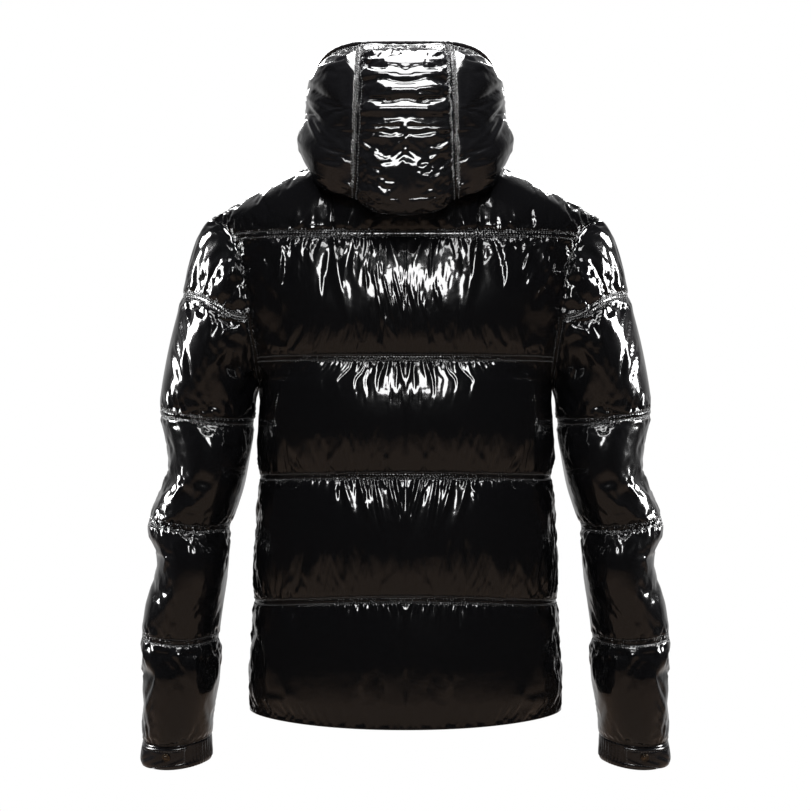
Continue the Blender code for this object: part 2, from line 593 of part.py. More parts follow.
def build_sleeves(sleeve, cuff, material, cuff_material):
    for name, piece, finish in (("sleeve", sleeve, material), ("cuff", cuff, cuff_material)):
        edges = ["low", "high"] if name == "sleeve" else ["low"]
        outer, inner = pulled_in([outside(piece), piece[0]], edges)
        other_way = lambda grid: np.roll(grid[:, ::-1], 1, axis=1)
        flip = np.array([-1.0, 1.0, 1.0])
        wall(name + "_right", other_way(outer), other_way(inner), finish, closed=True)
        wall(name + "_left", outer * flip, inner * flip, finish, closed=True)


def build_hood(hood, material):
    outer, inner = outside(hood), hood[0]
    middle = slice(0, CENTRE_COLUMNS + 1)
    side = slice(CENTRE_COLUMNS, None)
    grids = [both_halves(outer[:, middle]), both_halves(inner[:, middle])]
    wall("hood_centre", *pulled_in(grids, ["left", "right", "low"]), material)
    outer, inner = pulled_in([outer[:, side], inner[:, side]], ["left", "low"])
    wall("hood_side_right", outer, inner, material)
    wall("hood_side_left", mirrored(outer), mirrored(inner), material)


# ---------------------------------------------------------------- trims
def tube(name, middles, across, along, material, sides):
    """A closed bar through middles, with the half sizes given by the vectors across and along."""
    turns = np.arange(sides) * 2 * math.pi / sides
    rings = (middles[:, None] + across[:, None] * np.cos(turns)[None, :, None]
             + along[:, None] * np.sin(turns)[None, :, None])
    count = len(middles)
    faces = []
    for i in range(count - 1):
        for j in range(sides):
            k = (j + 1) % sides
            faces.append((i * sides + j, i * sides + k, (i + 1) * sides + k, (i + 1) * sides + j))
    faces.append(tuple(range(sides))[::-1])
    faces.append(tuple((count - 1) * sides + j for j in range(sides)))
    obj = add_object(name, rings.reshape(-1, 3), faces, material)
    recalculate(obj)
    return obj


def build_binding(hood, material):
    """The binding along the hood's rim, from one side of the zip round to the other."""
    rim_middle = hood[0][-1] + hood[1][-1] * hood[2][-1][:, None] / 2
    upward = unit(hood_surface(np.linspace(0, 1, HOOD_COLUMNS + 1), np.full(HOOD_COLUMNS + 1, RIM))
                  - hood_surface(np.linspace(0, 1, HOOD_COLUMNS + 1),
                                 np.full(HOOD_COLUMNS + 1, RIM - 0.2)))
    outward = hood[1][-1]
    middles = rim_middle + upward * (BINDING["width"] / 2 + 2 * SEAM_GAP)
    flip = np.array([-1.0, 1.0, 1.0])
    both = lambda a: np.concatenate([a[:0:-1] * flip, a])
    tube("hood_binding", both(middles), both(outward) * BINDING["thickness"] / 2,
         both(upward) * BINDING["width"] / 2, material, BINDING["sides"])


def centre_front():
    """Inside points and outward directions up the middle of the front, hem to rim."""
    rows = stations(BODY_ROWS, TOP)[::2]
    low = body_surface(1, np.zeros(len(rows)), rows)
    levels = np.array(HOOD_ROWS)[2::3]
    high = hood_surface(np.ones(len(levels)), levels)
    points = np.concatenate([low, high])
    points[:, 0] = 0.0
    along = unit(np.gradient(points, axis=0))
    outward = np.cross(np.array([1.0, 0, 0]), along) * -1.0
    return points, outward


def build_tapes(material):
    points, outward = centre_front()
    points = points.copy()
    points[0] += unit(points[1] - points[0]) * TAPE["end"]
    points[-1] += unit(points[-2] - points[-1]) * TAPE["end"]
    back_face = points + outward * TAPE["lift"]
    front_face = back_face + outward * TAPE["thickness"]
    for name, sign in (("zip_tape_right", 1.0), ("zip_tape_left", -1.0)):
        near = np.array([sign * TAPE["gap"], 0, 0])
        far = np.array([sign * (ZIP_EDGE - SEAM_GAP), 0, 0])
        rings = np.stack([back_face + near, back_face + far, front_face + far, front_face + near],
                         axis=1)
        faces = []
        for i in range(len(points) - 1):
            for j in range(4):
                k = (j + 1) % 4
                faces.append((4 * i + j, 4 * i + k, 4 * i + 4 + k, 4 * i + 4 + j))
        last = 4 * (len(points) - 1)
        faces += [(3, 2, 1, 0), (last, last + 1, last + 2, last + 3)]
        if sign < 0:
            faces = [face[::-1] for face in faces]
        add_object(name, rings.reshape(-1, 3), faces, material, smooth_faces=False)


def prism(outline, low, high, axis):
    """Vertices and faces of an outline pushed along an axis from low to high."""
    corners = []
    for level in (low, high):
        for a, b in outline:
            corners.append({"x": (level, a, b), "y": (a, level, b), "z": (a, b, level)}[axis])
    n = len(outline)
    faces = [tuple(range(n)), tuple(range(2 * n - 1, n - 1, -1))]
    faces += [(i, n + i, n + (i + 1) % n, (i + 1) % n) for i in range(n)]
    return corners, faces


def leaned(corners, z, slope):
    """Corners of a body that leans with the zip, as much as slope for each metre above z."""
    corners = np.array(corners, dtype=float)
    corners[:, 1] += slope * (corners[:, 2] - z)
    return corners


def build_slider(material, pull_material):
    """The slider with its bridge, and the pull whose bar turns under the bridge."""
    points, outward = centre_front()
    w, h, z = SLIDER["width"] / 2, SLIDER["height"] / 2, SLIDER["z"]
    low_y, face_y, high_y = np.interp([z - h, z, z + h], points[:, 2], points[:, 1])
    slope = (high_y - low_y) / (2 * h)
    back_y = face_y + TAPE["lift"] + TAPE["thickness"] + SLIDER["gap"]
    front_y = back_y + SLIDER["depth"]
    outline = [(-w, z + h), (-w * 0.55, z - h), (w * 0.55, z - h), (w, z + h)]
    corners, faces = prism(outline, back_y, front_y, "y")
    slider = add_object("zip_slider", leaned(corners, z, slope), faces, material, False)
    recalculate(slider)
    bevel = slider.modifiers.new("edges", "BEVEL")
    bevel.width = SLIDER["bevel"]
    bevel.segments = 2
    join = slider.modifiers.new("bridge", "BOOLEAN")
    join.operation = "UNION"
    join.solver = "EXACT"
    join.object = bridge_object(front_y, z, slope, material)
    build_pull(np.array([0.0, front_y + BRIDGE["reach"] - BRIDGE["bar_back"], z]), pull_material)


def bridge_object(front_y, z, slope, material):
    """A bent wire that stands on the slider and is joined to it."""
    reach, half = BRIDGE["reach"], BRIDGE["height"] / 2
    turns = np.linspace(0, math.pi, 9)
    y = front_y - BRIDGE["root"] + (reach + BRIDGE["root"]) * np.sin(turns) ** 0.5
    middles = np.stack([np.zeros(9), y, z + half * np.cos(turns)], axis=-1)
    middles = leaned(middles, z, slope)
    along = unit(np.gradient(middles, axis=0))
    sideways = np.tile([1.0, 0, 0], (9, 1))
    upright = np.cross(sideways, along)
    obj = tube("slider_bridge_shape", middles, sideways * BRIDGE["wire"],
               upright * BRIDGE["wire"] * 0.8, material, 8)
    obj.hide_render = True
    obj.hide_set(True)
    obj.display_type = "WIRE"
    return obj


def build_pull(axis, material):
    """A flat tab with an eye at its top, hanging from the bar in the bridge."""
    half, eye, t = PULL["width"] / 2, PULL["eye"] / 2, PULL["thickness"] / 2
    bar = PULL["bar"]
    length = PULL["length"]
    outline = [(-half * 0.75, bar), (half * 0.75, bar), (half, -length * 0.5), (half, -length * 0.9),
               (half * 0.7, -length), (-half * 0.7, -length), (-half, -length * 0.9),
               (-half, -length * 0.5)]
    corners, faces = prism(outline, -t, t, "y")
    pull = add_object("zip_pull", corners, faces, material, False)
    recalculate(pull)
    hole_corners, hole_faces = prism([(-eye * 0.6, -bar), (eye * 0.6, -bar), (eye * 0.6, -bar - 0.0042),
                                      (-eye * 0.6, -bar - 0.0042)], -0.01, 0.01, "y")
    hole = add_object("pull_eye_shape", hole_corners, hole_faces, material, False)
    recalculate(hole)
    hole.hide_render = True
    hole.hide_set(True)
    hole.display_type = "WIRE"
    hole.parent = pull
    cut = pull.modifiers.new("eye", "BOOLEAN")
    cut.operation = "DIFFERENCE"
    cut.solver = "EXACT"
    cut.object = hole
    pull.location = axis


def build_cuff_trims(cloth, metal):
    """The closing tab and the snap, laid on the outside of each cuff."""
    turns = np.radians(np.linspace(CUFF_TAB["from"], CUFF_TAB["to"], CUFF_TAB["columns"] + 1))
    levels = np.linspace(CUFF_TAB["high"], CUFF_TAB["low"], 3)
    turn, station = np.meshgrid(turns, levels)
    base = sleeve_surface(turn, station)
    out = normals(sleeve_surface, turn, station, (-10.0, 0.0), (10.0, CUFF_END))
    lift = WALL + SEAM_GAP + 0.0009
    inner = base + out * lift
    outer = inner + out * CUFF_TAB["thickness"]
    wall("cuff_tab_right", outer, inner, cloth, step=1)
    wall("cuff_tab_left", mirrored(outer), mirrored(inner), cloth, step=1)
    turn = np.radians(np.array([CUFF_SNAP["angle"]]))
    station = np.array([CUFF_SNAP["station"]])
    base = sleeve_surface(turn, station)[0]
    out = normals(sleeve_surface, turn, station, (-10.0, 0.0), (10.0, CUFF_END))[0]
    foot = base + out * (lift + CUFF_TAB["thickness"] + SEAM_GAP + 0.0003)
    side = unit(np.cross(out, np.array([0, 0, 1.0])))
    up = np.cross(side, out)
    radii = [CUFF_SNAP["radius"], CUFF_SNAP["radius"], CUFF_SNAP["radius"] * 0.82]
    heights = [0.0, CUFF_SNAP["height"] * 0.6, CUFF_SNAP["height"]]
    for name, flip in (("cuff_snap_right", 1.0), ("cuff_snap_left", -1.0)):
        mirror = np.array([flip, 1.0, 1.0])
        middles = np.array([foot + out * h for h in heights]) * mirror
        across = np.array([side * r for r in radii]) * mirror
        along = np.array([up * r for r in radii]) * mirror
        tube(name, middles, across, along, metal, CUFF_SNAP["sides"])


def clear_scene():
    for obj in list(bpy.data.objects):
        bpy.data.objects.remove(obj, do_unlink=True)


def main():
    clear_scene()
    cloth = make_material("black_nylon", (0.012, 0.012, 0.013), 0.12)
    lining = make_material("binding_tape", (0.02, 0.02, 0.022), 0.3)
    tape = make_material("zip_tape", (0.015, 0.015, 0.016), 0.75)
    metal = make_material("dark_metal", (0.12, 0.11, 0.10), 0.25, 1.0)
    back, front, hood = list(body_grids(-1)), list(body_grids(1)), list(hood_grids())
    inside, out, turn, station = sleeve_grids(stations(SLEEVE_ROWS, CUFF_SEAM))
    columns = np.arange(inside.shape[1])[None, :]
    sleeve = [inside, out, sleeve_thickness(turn, station, columns)]
    join_seams(back, front, sleeve, hood, turn[0])
    inside, out, turn, station = sleeve_grids(stations([CUFF_ROWS], 1.0) + CUFF_SEAM)
    cuff = [inside, out, np.full(inside.shape[:2], WALL)]
    for piece in (back, front):
        turn_to_seam(piece, "high")
        turn_to_seam(piece, "right")
    for piece in (sleeve, hood):
        turn_to_seam(piece, "low")
    build_body(back, front, cloth)
    build_sleeves(sleeve, cuff, cloth, cloth)
    build_hood(hood, cloth)
    build_binding(hood, lining)
    build_tapes(tape)
    build_slider(metal, metal)
    build_cuff_trims(cloth, metal)


main()
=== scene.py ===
"""A glossy hooded puffer jacket, zipped up and filled out as if it were worn, hood down.

Metres, +Z up. The back faces -Y and the wearer's right is +X. The right half is made and then
mirrored. Every padded panel is a closed shell: plain inside, quilted outside.
"""
import json
import math

import bmesh
import bpy
import numpy as np
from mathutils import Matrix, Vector

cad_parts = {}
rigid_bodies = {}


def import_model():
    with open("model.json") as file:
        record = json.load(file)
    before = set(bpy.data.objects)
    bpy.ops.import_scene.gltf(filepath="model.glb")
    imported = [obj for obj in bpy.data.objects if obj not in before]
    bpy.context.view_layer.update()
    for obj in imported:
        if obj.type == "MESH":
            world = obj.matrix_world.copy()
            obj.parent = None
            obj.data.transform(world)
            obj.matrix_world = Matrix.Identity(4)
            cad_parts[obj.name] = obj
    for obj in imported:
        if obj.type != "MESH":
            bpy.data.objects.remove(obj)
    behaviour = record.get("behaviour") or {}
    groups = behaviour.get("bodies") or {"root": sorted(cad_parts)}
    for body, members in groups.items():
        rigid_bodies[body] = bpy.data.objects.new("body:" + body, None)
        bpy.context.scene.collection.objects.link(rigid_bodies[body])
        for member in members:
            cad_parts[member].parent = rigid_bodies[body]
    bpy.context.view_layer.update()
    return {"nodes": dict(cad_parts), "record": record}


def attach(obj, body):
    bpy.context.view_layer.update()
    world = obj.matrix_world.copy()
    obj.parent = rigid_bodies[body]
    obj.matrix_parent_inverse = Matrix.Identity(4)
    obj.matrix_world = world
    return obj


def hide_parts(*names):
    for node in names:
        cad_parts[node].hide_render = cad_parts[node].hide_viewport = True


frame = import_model()

# ---- cloth ----
WALL = 0.003  # thickness of the padded cloth at a stitched line
MITRE_LEAST = 0.6  # cosine that limits how long the mitre of two walls gets at a sharp seam
ARMPIT_LEAN = 0.7  # how little the seam under the arm leans towards the sleeve
ARMPIT_LEAN_END = 0.2  # cosine of the place round the armhole from which it leans in full
SEAM_TURN = 0.012  # how far from a seam the wall turns from the seam's direction to its own
SEAM_SAMPLES = 8  # points looked at between two points of a seam, to find the nearest
SLOPE_STEP = 1e-3  # step in the surface parameters for a slope
PUFF_EARLY = 0.80  # below 1 a filled channel is fullest before its middle
PUFF_ROUND = 0.70  # below 1 it is rounder than an arc
ROW_RIDGE = 0.05  # height of the cloth between two rows of stitches, as a share of the channel's

# ---- body: a row for each stitched line, and for the armpit ----
# station, z at the side, z at the centre, half width, depth of the back, depth of the front,
# and squareness, which is 2 for an ellipse
BODY_SECTIONS = np.array([
    [0.0, -0.661, -0.671, 0.1865, 0.125, 0.121, 2.4],
    [1.0, -0.529, -0.518, 0.1800, 0.129, 0.124, 2.5],
    [2.0, -0.379, -0.374, 0.1733, 0.127, 0.122, 2.6],
    [2.8, -0.264, -0.264, 0.1720, 0.126, 0.120, 2.8],
    [3.0, -0.237, -0.237, 0.1720, 0.125, 0.119, 2.9],
    [4.0, -0.092, -0.092, 0.1720, 0.110, 0.103, 3.0],
])
(STATION, SIDE_Z, CENTRE_Z, HALF_WIDTH, BACK_DEPTH, FRONT_DEPTH, SQUARENESS) = BODY_SECTIONS.T
ARMPIT, LINE_TWO, YOKE_LINE, TOP = 2.8, 3.0, 4.0, 5.0
BODY_COLUMNS = 24  # in half a body, from the centre to the side seam
NECK_COLUMNS = 10  # of them end at the neck seam and the rest at the shoulder seam
# height of each channel, hem first, of the back and of the fronts
BODY_PUFF = {-1: (0.009, 0.014, 0.015, 0.016, 0.009), 1: (0.009, 0.013, 0.014, 0.014, 0.006)}
# where the channels are squashed flat under the arm: stations, columns, and how flat
UNDER_ARM = {"low": (2.2, 2.6), "high": (3.2, 3.7), "across": (0.60, 0.92), "flat": 0.85}
SHOULDER = (0.234, 0.0, -0.068)  # outer end of the shoulder seam
# the yoke bends over at a point with this share of the yoke line's y, and this of its z
YOKE_BEND = {-1: (0.80, 0.25), 1: (0.60, 0.42)}
YOKE_FAN = {-1: 0.09, 1: 0.155}  # how far the columns fan out at the yoke line, round the neck
YOKE_TO_ARMHOLE = 5  # the higher, the nearer to the armhole the yoke bends to meet it
BODY_FLAT_EDGE = 3.5  # the higher, the nearer to the side seam the filling stays full
HEM_FILL = (0.0, 0.2)  # shares of the lowest channel between which its filling starts
ZIP_FILL = (-0.02, 0.05)  # shares of a front's width between which its filling starts

# ---- armhole ----
ARMHOLE_BOTTOM = -0.264
ARMHOLE_HEIGHT = SHOULDER[2] - ARMHOLE_BOTTOM
ARMHOLE_DEPTH = {-1: 0.078, 1: 0.071}  # of its back half and its front half
ARMHOLE_IN = 0.172  # half width at the armpit
ARMHOLE_LEAN = 0.032  # how much wider it lies at the top, but for its last curl outwards
ARMHOLE_CURL = 12  # the higher, the nearer to the top that curl starts
ARMHOLE_HOLLOW = 0.004  # how much it bends inwards halfway up

# ---- sleeve: a row for each stitched line and each fold between them ----
# station, x and z of the outer edge, x and z of the inner edge, half depth, y of the middle
SLEEVE_SECTIONS = np.array([
    [2.00, 0.2915, -0.300, 0.1880, -0.312, 0.0640, -0.004],
    [2.30, 0.2765, -0.340, 0.1960, -0.350, 0.0650, -0.006],
    [2.62, 0.2780, -0.382, 0.2040, -0.390, 0.0610, -0.009],
    [2.86, 0.2945, -0.412, 0.2120, -0.420, 0.0570, -0.011],
    [3.00, 0.3035, -0.432, 0.2165, -0.438, 0.0550, -0.012],
    [3.30, 0.2910, -0.470, 0.2215, -0.475, 0.0560, -0.011],
    [3.60, 0.2940, -0.508, 0.2255, -0.512, 0.0545, -0.008],
    [3.82, 0.3065, -0.538, 0.2285, -0.540, 0.0520, -0.005],
    [4.00, 0.3135, -0.572, 0.2310, -0.573, 0.0500, -0.002],
    [4.35, 0.3095, -0.620, 0.2340, -0.616, 0.0500, 0.006],
    [4.70, 0.3115, -0.665, 0.2395, -0.658, 0.0480, 0.013],
    [5.00, 0.3190, -0.704, 0.2410, -0.696, 0.0430, 0.018],
    [6.00, 0.3170, -0.733, 0.2425, -0.726, 0.0415, 0.022],
])
S_STATION = SLEEVE_SECTIONS[:, 0]
SLEEVE_START, CUFF_SEAM, CUFF_END = 2.0, 5.0, 6.0
SLEEVE_PUFF = {"outer": 0.0085, "depth": 0.013, "inner": 0.0035}
CAP_FILL = 0.35  # share of the outer height that is left over the shoulder
CAP_LINE = 0.46  # how far down the sleeve's cap its first stitched line lies, at the top
CAP_LINE_LEAST = 0.03  # and under the arm, where it runs into the armhole seam
CAP_LINE_END = -0.18  # cosine of the place round the armhole where it does
CAP_LINE_BEND = 0.42  # the lower, the sooner the line comes down from the shoulder
OUTER_PINCH_SOFT = 0.45  # how much of its height the outer edge keeps at a stitched line
SIDE_SAG = 0.004  # how much lower the middle of a ring hangs than its edges
# the cap is a curve from the armhole to the first full ring: the ways it leaves the one and reaches
# the other, over the shoulder and under the arm, how far it keeps to each, and how much less on top
CAP_LEAVES = {"top": (0.60, 0, -0.80), "under": (0.97, 0, -0.25), "reach": 0.30, "less": 0.08}
CAP_ARRIVES = {"top": (0.16, 0, -1.0), "under": (0.05, 0, -1.0), "reach": 0.38, "less": 0.04}
# the sleeve's filling changes between these stations, or between these cosines round the sleeve
SLEEVE_FILL = {"outer": (1.0, 2.2), "cap": (CAP_LINE_END, 0.6), "under_arm": (-0.1, 0.7),
               "under_arm_ends": (1.5, 2.2), "pinch": (0.1, 0.9), "pinch_starts": (1.2, 1.8),
               "pinch_ends": (4.6, 4.95)}

# ---- hood: a row for each ring, from the neck seam over a roll into the pouch and up ----
# back y, back z, side x, side y, side z, front y, front z, roundness
HOOD_RINGS = np.array([
    [-0.078, -0.004, 0.0820, -0.005, 0.0140, 0.0800, -0.061, 1.3],
    [-0.082, 0.010, 0.0835, -0.005, 0.0230, 0.0815, -0.052, 1.3],
    [-0.096, 0.018, 0.0870, -0.006, 0.0310, 0.0830, -0.043, 1.3],
    [-0.114, 0.009, 0.0920, -0.008, 0.0360, 0.0845, -0.035, 1.3],
    [-0.127, -0.018, 0.0970, -0.010, 0.0385, 0.0860, -0.027, 1.3],
    [-0.136, -0.046, 0.1015, -0.012, 0.0395, 0.0875, -0.020, 1.3],
    [-0.147, -0.062, 0.1050, -0.013, 0.0415, 0.0890, -0.013, 1.3],
    [-0.158, -0.051, 0.1075, -0.013, 0.0450, 0.0900, -0.007, 1.3],
    [-0.163, -0.018, 0.1090, -0.012, 0.0510, 0.0910, -0.001, 1.25],
    [-0.164, 0.020, 0.1100, -0.010, 0.0580, 0.0920, 0.005, 1.2],
    [-0.159, 0.058, 0.1095, -0.006, 0.0670, 0.0930, 0.011, 1.1],
    [-0.140, 0.102, 0.1090, 0.000, 0.0800, 0.0940, 0.017, 0.9],
    [-0.104, 0.131, 0.1075, 0.006, 0.0930, 0.0950, 0.023, 0.8],
])
NECK, POUCH, RIM = 0.0, 6.0, 12.0
# below 1 the rings are squarer than an ellipse; the power changes between two levels
RING_POWER = {"neck": 0.75, "rim": 0.50, "change": (8.5, 11.5)}
HOOD_CORNER = 0.015  # how far the hood's lower corners stand out
# the corners' place: shares of half the hood from centre to zip, and levels
CORNER_AT = {"starts": (0.2, 0.3), "ends": (0.40, 0.48), "low": (4.5, 6.0), "high": (7.5, 9.5)}
HOOD_COLUMNS = 2 * NECK_COLUMNS  # from the centre of the back to the zip
CENTRE_COLUMNS = 4  # of them lie in half the centre panel
CENTRE_HALF_WIDTH = {"neck": 0.050, "pouch": 0.057, "rim": 0.051}
HOOD_PUFF = {"centre": 0.008, "side": 0.008, "front": 0.004}
# the hood's filling changes between these shares of a side panel, of half the hood, or levels
HOOD_FILL = {"to_front": (0.3, 0.7), "back": (5.0, 7.0), "front": (1.0, 5.0), "fore": (0.6, 0.9),
             "rim": (11.0, 11.8)}
# how steeply the filling falls off at the centre panel's seams, at a side's seam and at the zip
HOOD_FALL = {"centre": 4, "seam": 4, "zip": 12, "round": 0.5}
HOOD_HELD = 5.0  # level below which the hood's cloth is held still while it is blown up
ZIP_EDGE = 0.006  # half the space between the two fronts


# ---- curves and tables ----
def smooth(x, xs, ys):
    """Value at x of the cubic curve through the points (xs, ys)."""
    slopes = np.gradient(ys, xs)
    x = np.clip(x, xs[0], xs[-1])
    i = np.clip(np.searchsorted(xs, x, side="right") - 1, 0, len(xs) - 2)
    width = xs[i + 1] - xs[i]
    t = (x - xs[i]) / width
    start = (2 * t**3 - 3 * t**2 + 1) * ys[i] + (t**3 - 2 * t**2 + t) * width * slopes[i]
    end = (3 * t**2 - 2 * t**3) * ys[i + 1] + (t**3 - t**2) * width * slopes[i + 1]
    return start + end


def ramp(x, low, high):
    """0 below low, 1 above high, and a smooth step between."""
    t = np.clip((x - low) / (high - low), 0.0, 1.0)
    return t * t * (3 - 2 * t)


def unit(vectors):
    """The same directions with a length of 1."""
    return vectors / np.maximum(np.linalg.norm(vectors, axis=-1, keepdims=True), 1e-12)


def puff_profile(share):
    """Height of a filled channel across its width."""
    return np.sin(math.pi * np.clip(share, 0, 1) ** PUFF_EARLY) ** PUFF_ROUND


# ---- surfaces: the plain inside ----
def armhole(side, turn):
    """Point of the right armhole at a turn from the shoulder (0) to the armpit (180 degrees)."""
    share = (1 + np.cos(turn)) / 2
    x = ARMHOLE_IN + ARMHOLE_LEAN * share
    x = x + (SHOULDER[0] - ARMHOLE_IN - ARMHOLE_LEAN) * share**ARMHOLE_CURL
    x = x - ARMHOLE_HOLLOW * np.sin(turn) ** 2
    y = side * ARMHOLE_DEPTH[side] * np.sin(turn)
    z = ARMHOLE_BOTTOM + ARMHOLE_HEIGHT * share
    return np.stack([x, y, z], axis=-1)


def armhole_turn(station):
    """Turn round the armhole at which a row of the body ends."""
    heights = np.interp([LINE_TWO, YOKE_LINE], STATION, SIDE_Z)
    line_turns = np.arccos(2 * (heights - ARMHOLE_BOTTOM) / ARMHOLE_HEIGHT - 1)
    return np.interp(station, [ARMPIT, LINE_TWO, YOKE_LINE, TOP], [math.pi, *line_turns, 0.0])


def hood_point(angle, level):
    """Inside of the hood at an angle from the centre back (0) to the centre front (180)."""
    levels = np.arange(len(HOOD_RINGS), dtype=float)
    (back_y, back_z, side_x, side_y, side_z, front_y, front_z, power) = [
        smooth(level, levels, column) for column in HOOD_RINGS.T]
    reach = np.abs(np.cos(angle))
    behind = np.cos(angle) > 0
    end_y = np.where(behind, back_y, front_y)
    end_z = np.where(behind, back_z, front_z)
    x = side_x * np.abs(np.sin(angle)) ** ring_power(level)
    y = side_y + (end_y - side_y) * reach
    z = side_z + (end_z - side_z) * reach**power
    return np.stack([x, y, z], axis=-1)


def ring_power(level):
    """How square the hood's ring is at a level."""
    change = ramp(level, *RING_POWER["change"])
    return RING_POWER["neck"] + (RING_POWER["rim"] - RING_POWER["neck"]) * change


def hood_angle(share, level):
    """Angle of a column of the hood: share 0 is the centre back and 1 is the zip."""
    levels = np.arange(len(HOOD_RINGS), dtype=float)
    side_x = smooth(level, levels, HOOD_RINGS[:, 2])
    half = np.interp(level, [NECK, POUCH, RIM], list(CENTRE_HALF_WIDTH.values()))
    seam_share = CENTRE_COLUMNS / HOOD_COLUMNS
    within = np.minimum(share / seam_share, 1.0) * half / side_x
    power = 1 / ring_power(level)
    seam = np.arcsin((half / side_x) ** power)
    front = math.pi - np.arcsin((ZIP_EDGE / side_x) ** power)
    centre = np.arcsin(within**power)
    rear = seam + (math.pi / 2 - seam) * (share - seam_share) / (0.5 - seam_share)
    fore = math.pi / 2 + (front - math.pi / 2) * (share - 0.5) / 0.5
    return np.where(share <= seam_share, centre, np.where(share <= 0.5, rear, fore))


def hood_surface(share, level):
    """Inside of the hood; share is -1 and 1 at the zip and 0 at the centre back."""
    return hood_point(hood_angle(np.abs(share), level), level) * sign_of_x(share)


def sign_of_x(share):
    """Factors that put a point of the right half on the side that its share says."""
    mirror = np.ones(np.shape(share) + (3,))
    mirror[..., 0] = np.where(share < 0, -1.0, 1.0)
    return mirror


def top_line(side, u):
    """Upper edge of half a body panel: the neck seam, then the shoulder seam."""
    neck_share = NECK_COLUMNS / BODY_COLUMNS
    along_neck = 0.5 * np.minimum(u / neck_share, 1.0)
    share = along_neck if side < 0 else 1.0 - along_neck
    neck = hood_surface(share, np.full(np.shape(u), NECK))
    neck_point = HOOD_RINGS[0][[2, 3, 4]]
    along = np.clip((u - neck_share) / (1 - neck_share), 0, 1)[..., None]
    shoulder = neck_point + (np.array(SHOULDER) - neck_point) * along
    return np.where((u <= neck_share)[..., None], neck, shoulder)


def body_row(side, u, station):
    """Inside of half a body panel up to the yoke line; u is 0 at the centre and 1 at the side."""
    depth = smooth(station, STATION, BACK_DEPTH if side < 0 else FRONT_DEPTH)
    power = smooth(station, STATION, SQUARENESS)
    centre_z = smooth(station, STATION, CENTRE_Z)
    edge = armhole(side, armhole_turn(station))
    below = station < ARMPIT
    end_x = np.where(below, smooth(station, STATION, HALF_WIDTH), edge[..., 0])
    end_y = np.where(below, 0.0, np.abs(edge[..., 1]))
    end_z = np.where(below, smooth(station, STATION, SIDE_Z), edge[..., 2])
    half_width = end_x / (1 - (end_y / depth) ** power) ** (1 / power)
    start = 0.0 if side < 0 else np.arctan(ZIP_EDGE / depth)
    fanned = u + YOKE_FAN[side] * ramp(station, LINE_TWO, YOKE_LINE) * np.sin(math.pi * u)
    angle = start + fanned * (np.arctan2(end_x, end_y) - start)
    sine, cosine = np.sin(angle), np.abs(np.cos(angle))
    radius = ((sine / half_width) ** power + (cosine / depth) ** power) ** (-1 / power)
    x = radius * sine
    y = radius * cosine
    z = end_z + (centre_z - end_z) * (1 - (x / end_x) ** 2)
    return np.stack([x, side * y, z], axis=-1)


def body_surface(side, u, station):
    """Inside of half a body panel, with its yoke."""
    t = np.clip(station - YOKE_LINE, 0, 1)[..., None]
    bend = np.array([0.5, *YOKE_BEND[side]])

    def yoke(low, high):
        return (1 - t) ** 2 * low + 2 * t * (1 - t) * (bend * low + (1 - bend) * high) + t**2 * high

    point = yoke(body_row(side, u, np.minimum(station, YOKE_LINE)), top_line(side, u))
    end = yoke(armhole(side, armhole_turn(YOKE_LINE)), np.array(SHOULDER))
    to_armhole = armhole(side, armhole_turn(station)) - end
    return point + np.where(t > 0, to_armhole * (u**YOKE_TO_ARMHOLE)[..., None], 0.0)


def sleeve_ring(turn, station):
    """Inside of the right sleeve and cuff below the first full ring."""
    columns = [smooth(station, S_STATION, c) for c in SLEEVE_SECTIONS.T[1:]]
    outer_x, outer_z, inner_x, inner_z, half_depth, middle_y = columns
    across = np.cos(turn)
    x = (outer_x + inner_x) / 2 + (outer_x - inner_x) / 2 * across
    y = middle_y - half_depth * np.sin(turn)
    z = (outer_z + inner_z) / 2 + (outer_z - inner_z) / 2 * across - SIDE_SAG * np.sin(turn) ** 2
    return np.stack([x, y, z], axis=-1)


def sleeve_surface(turn, station):
    """Inside of the right sleeve; turn is 0 at the top, 90 at the back and 180 under the arm."""
    behind = (np.sin(turn) >= 0)[..., None]
    folded = np.arccos(np.clip(np.cos(turn), -1, 1))
    start = np.where(behind, armhole(-1, folded), armhole(1, folded))
    ring = sleeve_ring(turn, np.maximum(station, SLEEVE_START))
    join = sleeve_ring(turn, np.full(np.shape(turn), SLEEVE_START))
    top = (((1 + np.cos(turn)) / 2) ** 2)[..., None]
    leaving, arriving = (unit(top * np.array(way["top"]) + (1 - top) * np.array(way["under"]))
                         for way in (CAP_LEAVES, CAP_ARRIVES))
    reach = np.linalg.norm(join - start, axis=-1, keepdims=True)
    first = start + leaving * reach * (CAP_LEAVES["reach"] - CAP_LEAVES["less"] * top)
    second = join - arriving * reach * (CAP_ARRIVES["reach"] - CAP_ARRIVES["less"] * top)
    line = np.clip((np.cos(turn) - CAP_LINE_END) / (1 - CAP_LINE_END), 0, 1)
    line = CAP_LINE_LEAST + (CAP_LINE - CAP_LINE_LEAST) * line**CAP_LINE_BEND
    t = np.where(station <= 1, line * station, line + (1 - line) * (station - 1))
    t = np.clip(t, 0, 1)[..., None]
    cap = ((1 - t) ** 3 * start + 3 * t * (1 - t) ** 2 * first
           + 3 * t**2 * (1 - t) * second + t**3 * join)
    return np.where((station < SLEEVE_START)[..., None], cap, ring)


def normals(surface, u, v, lows, highs):
    """Unit normals of a surface, on the side that u to v turns round by the right-hand rule."""
    def slope(du, dv):
        u_up, u_down = np.minimum(u + du, highs[0]), np.maximum(u - du, lows[0])
        v_up, v_down = np.minimum(v + dv, highs[1]), np.maximum(v - dv, lows[1])
        return surface(u_up, v_up) - surface(u_down, v_down)
    return unit(np.cross(slope(SLOPE_STEP, 0), slope(0, SLOPE_STEP)))


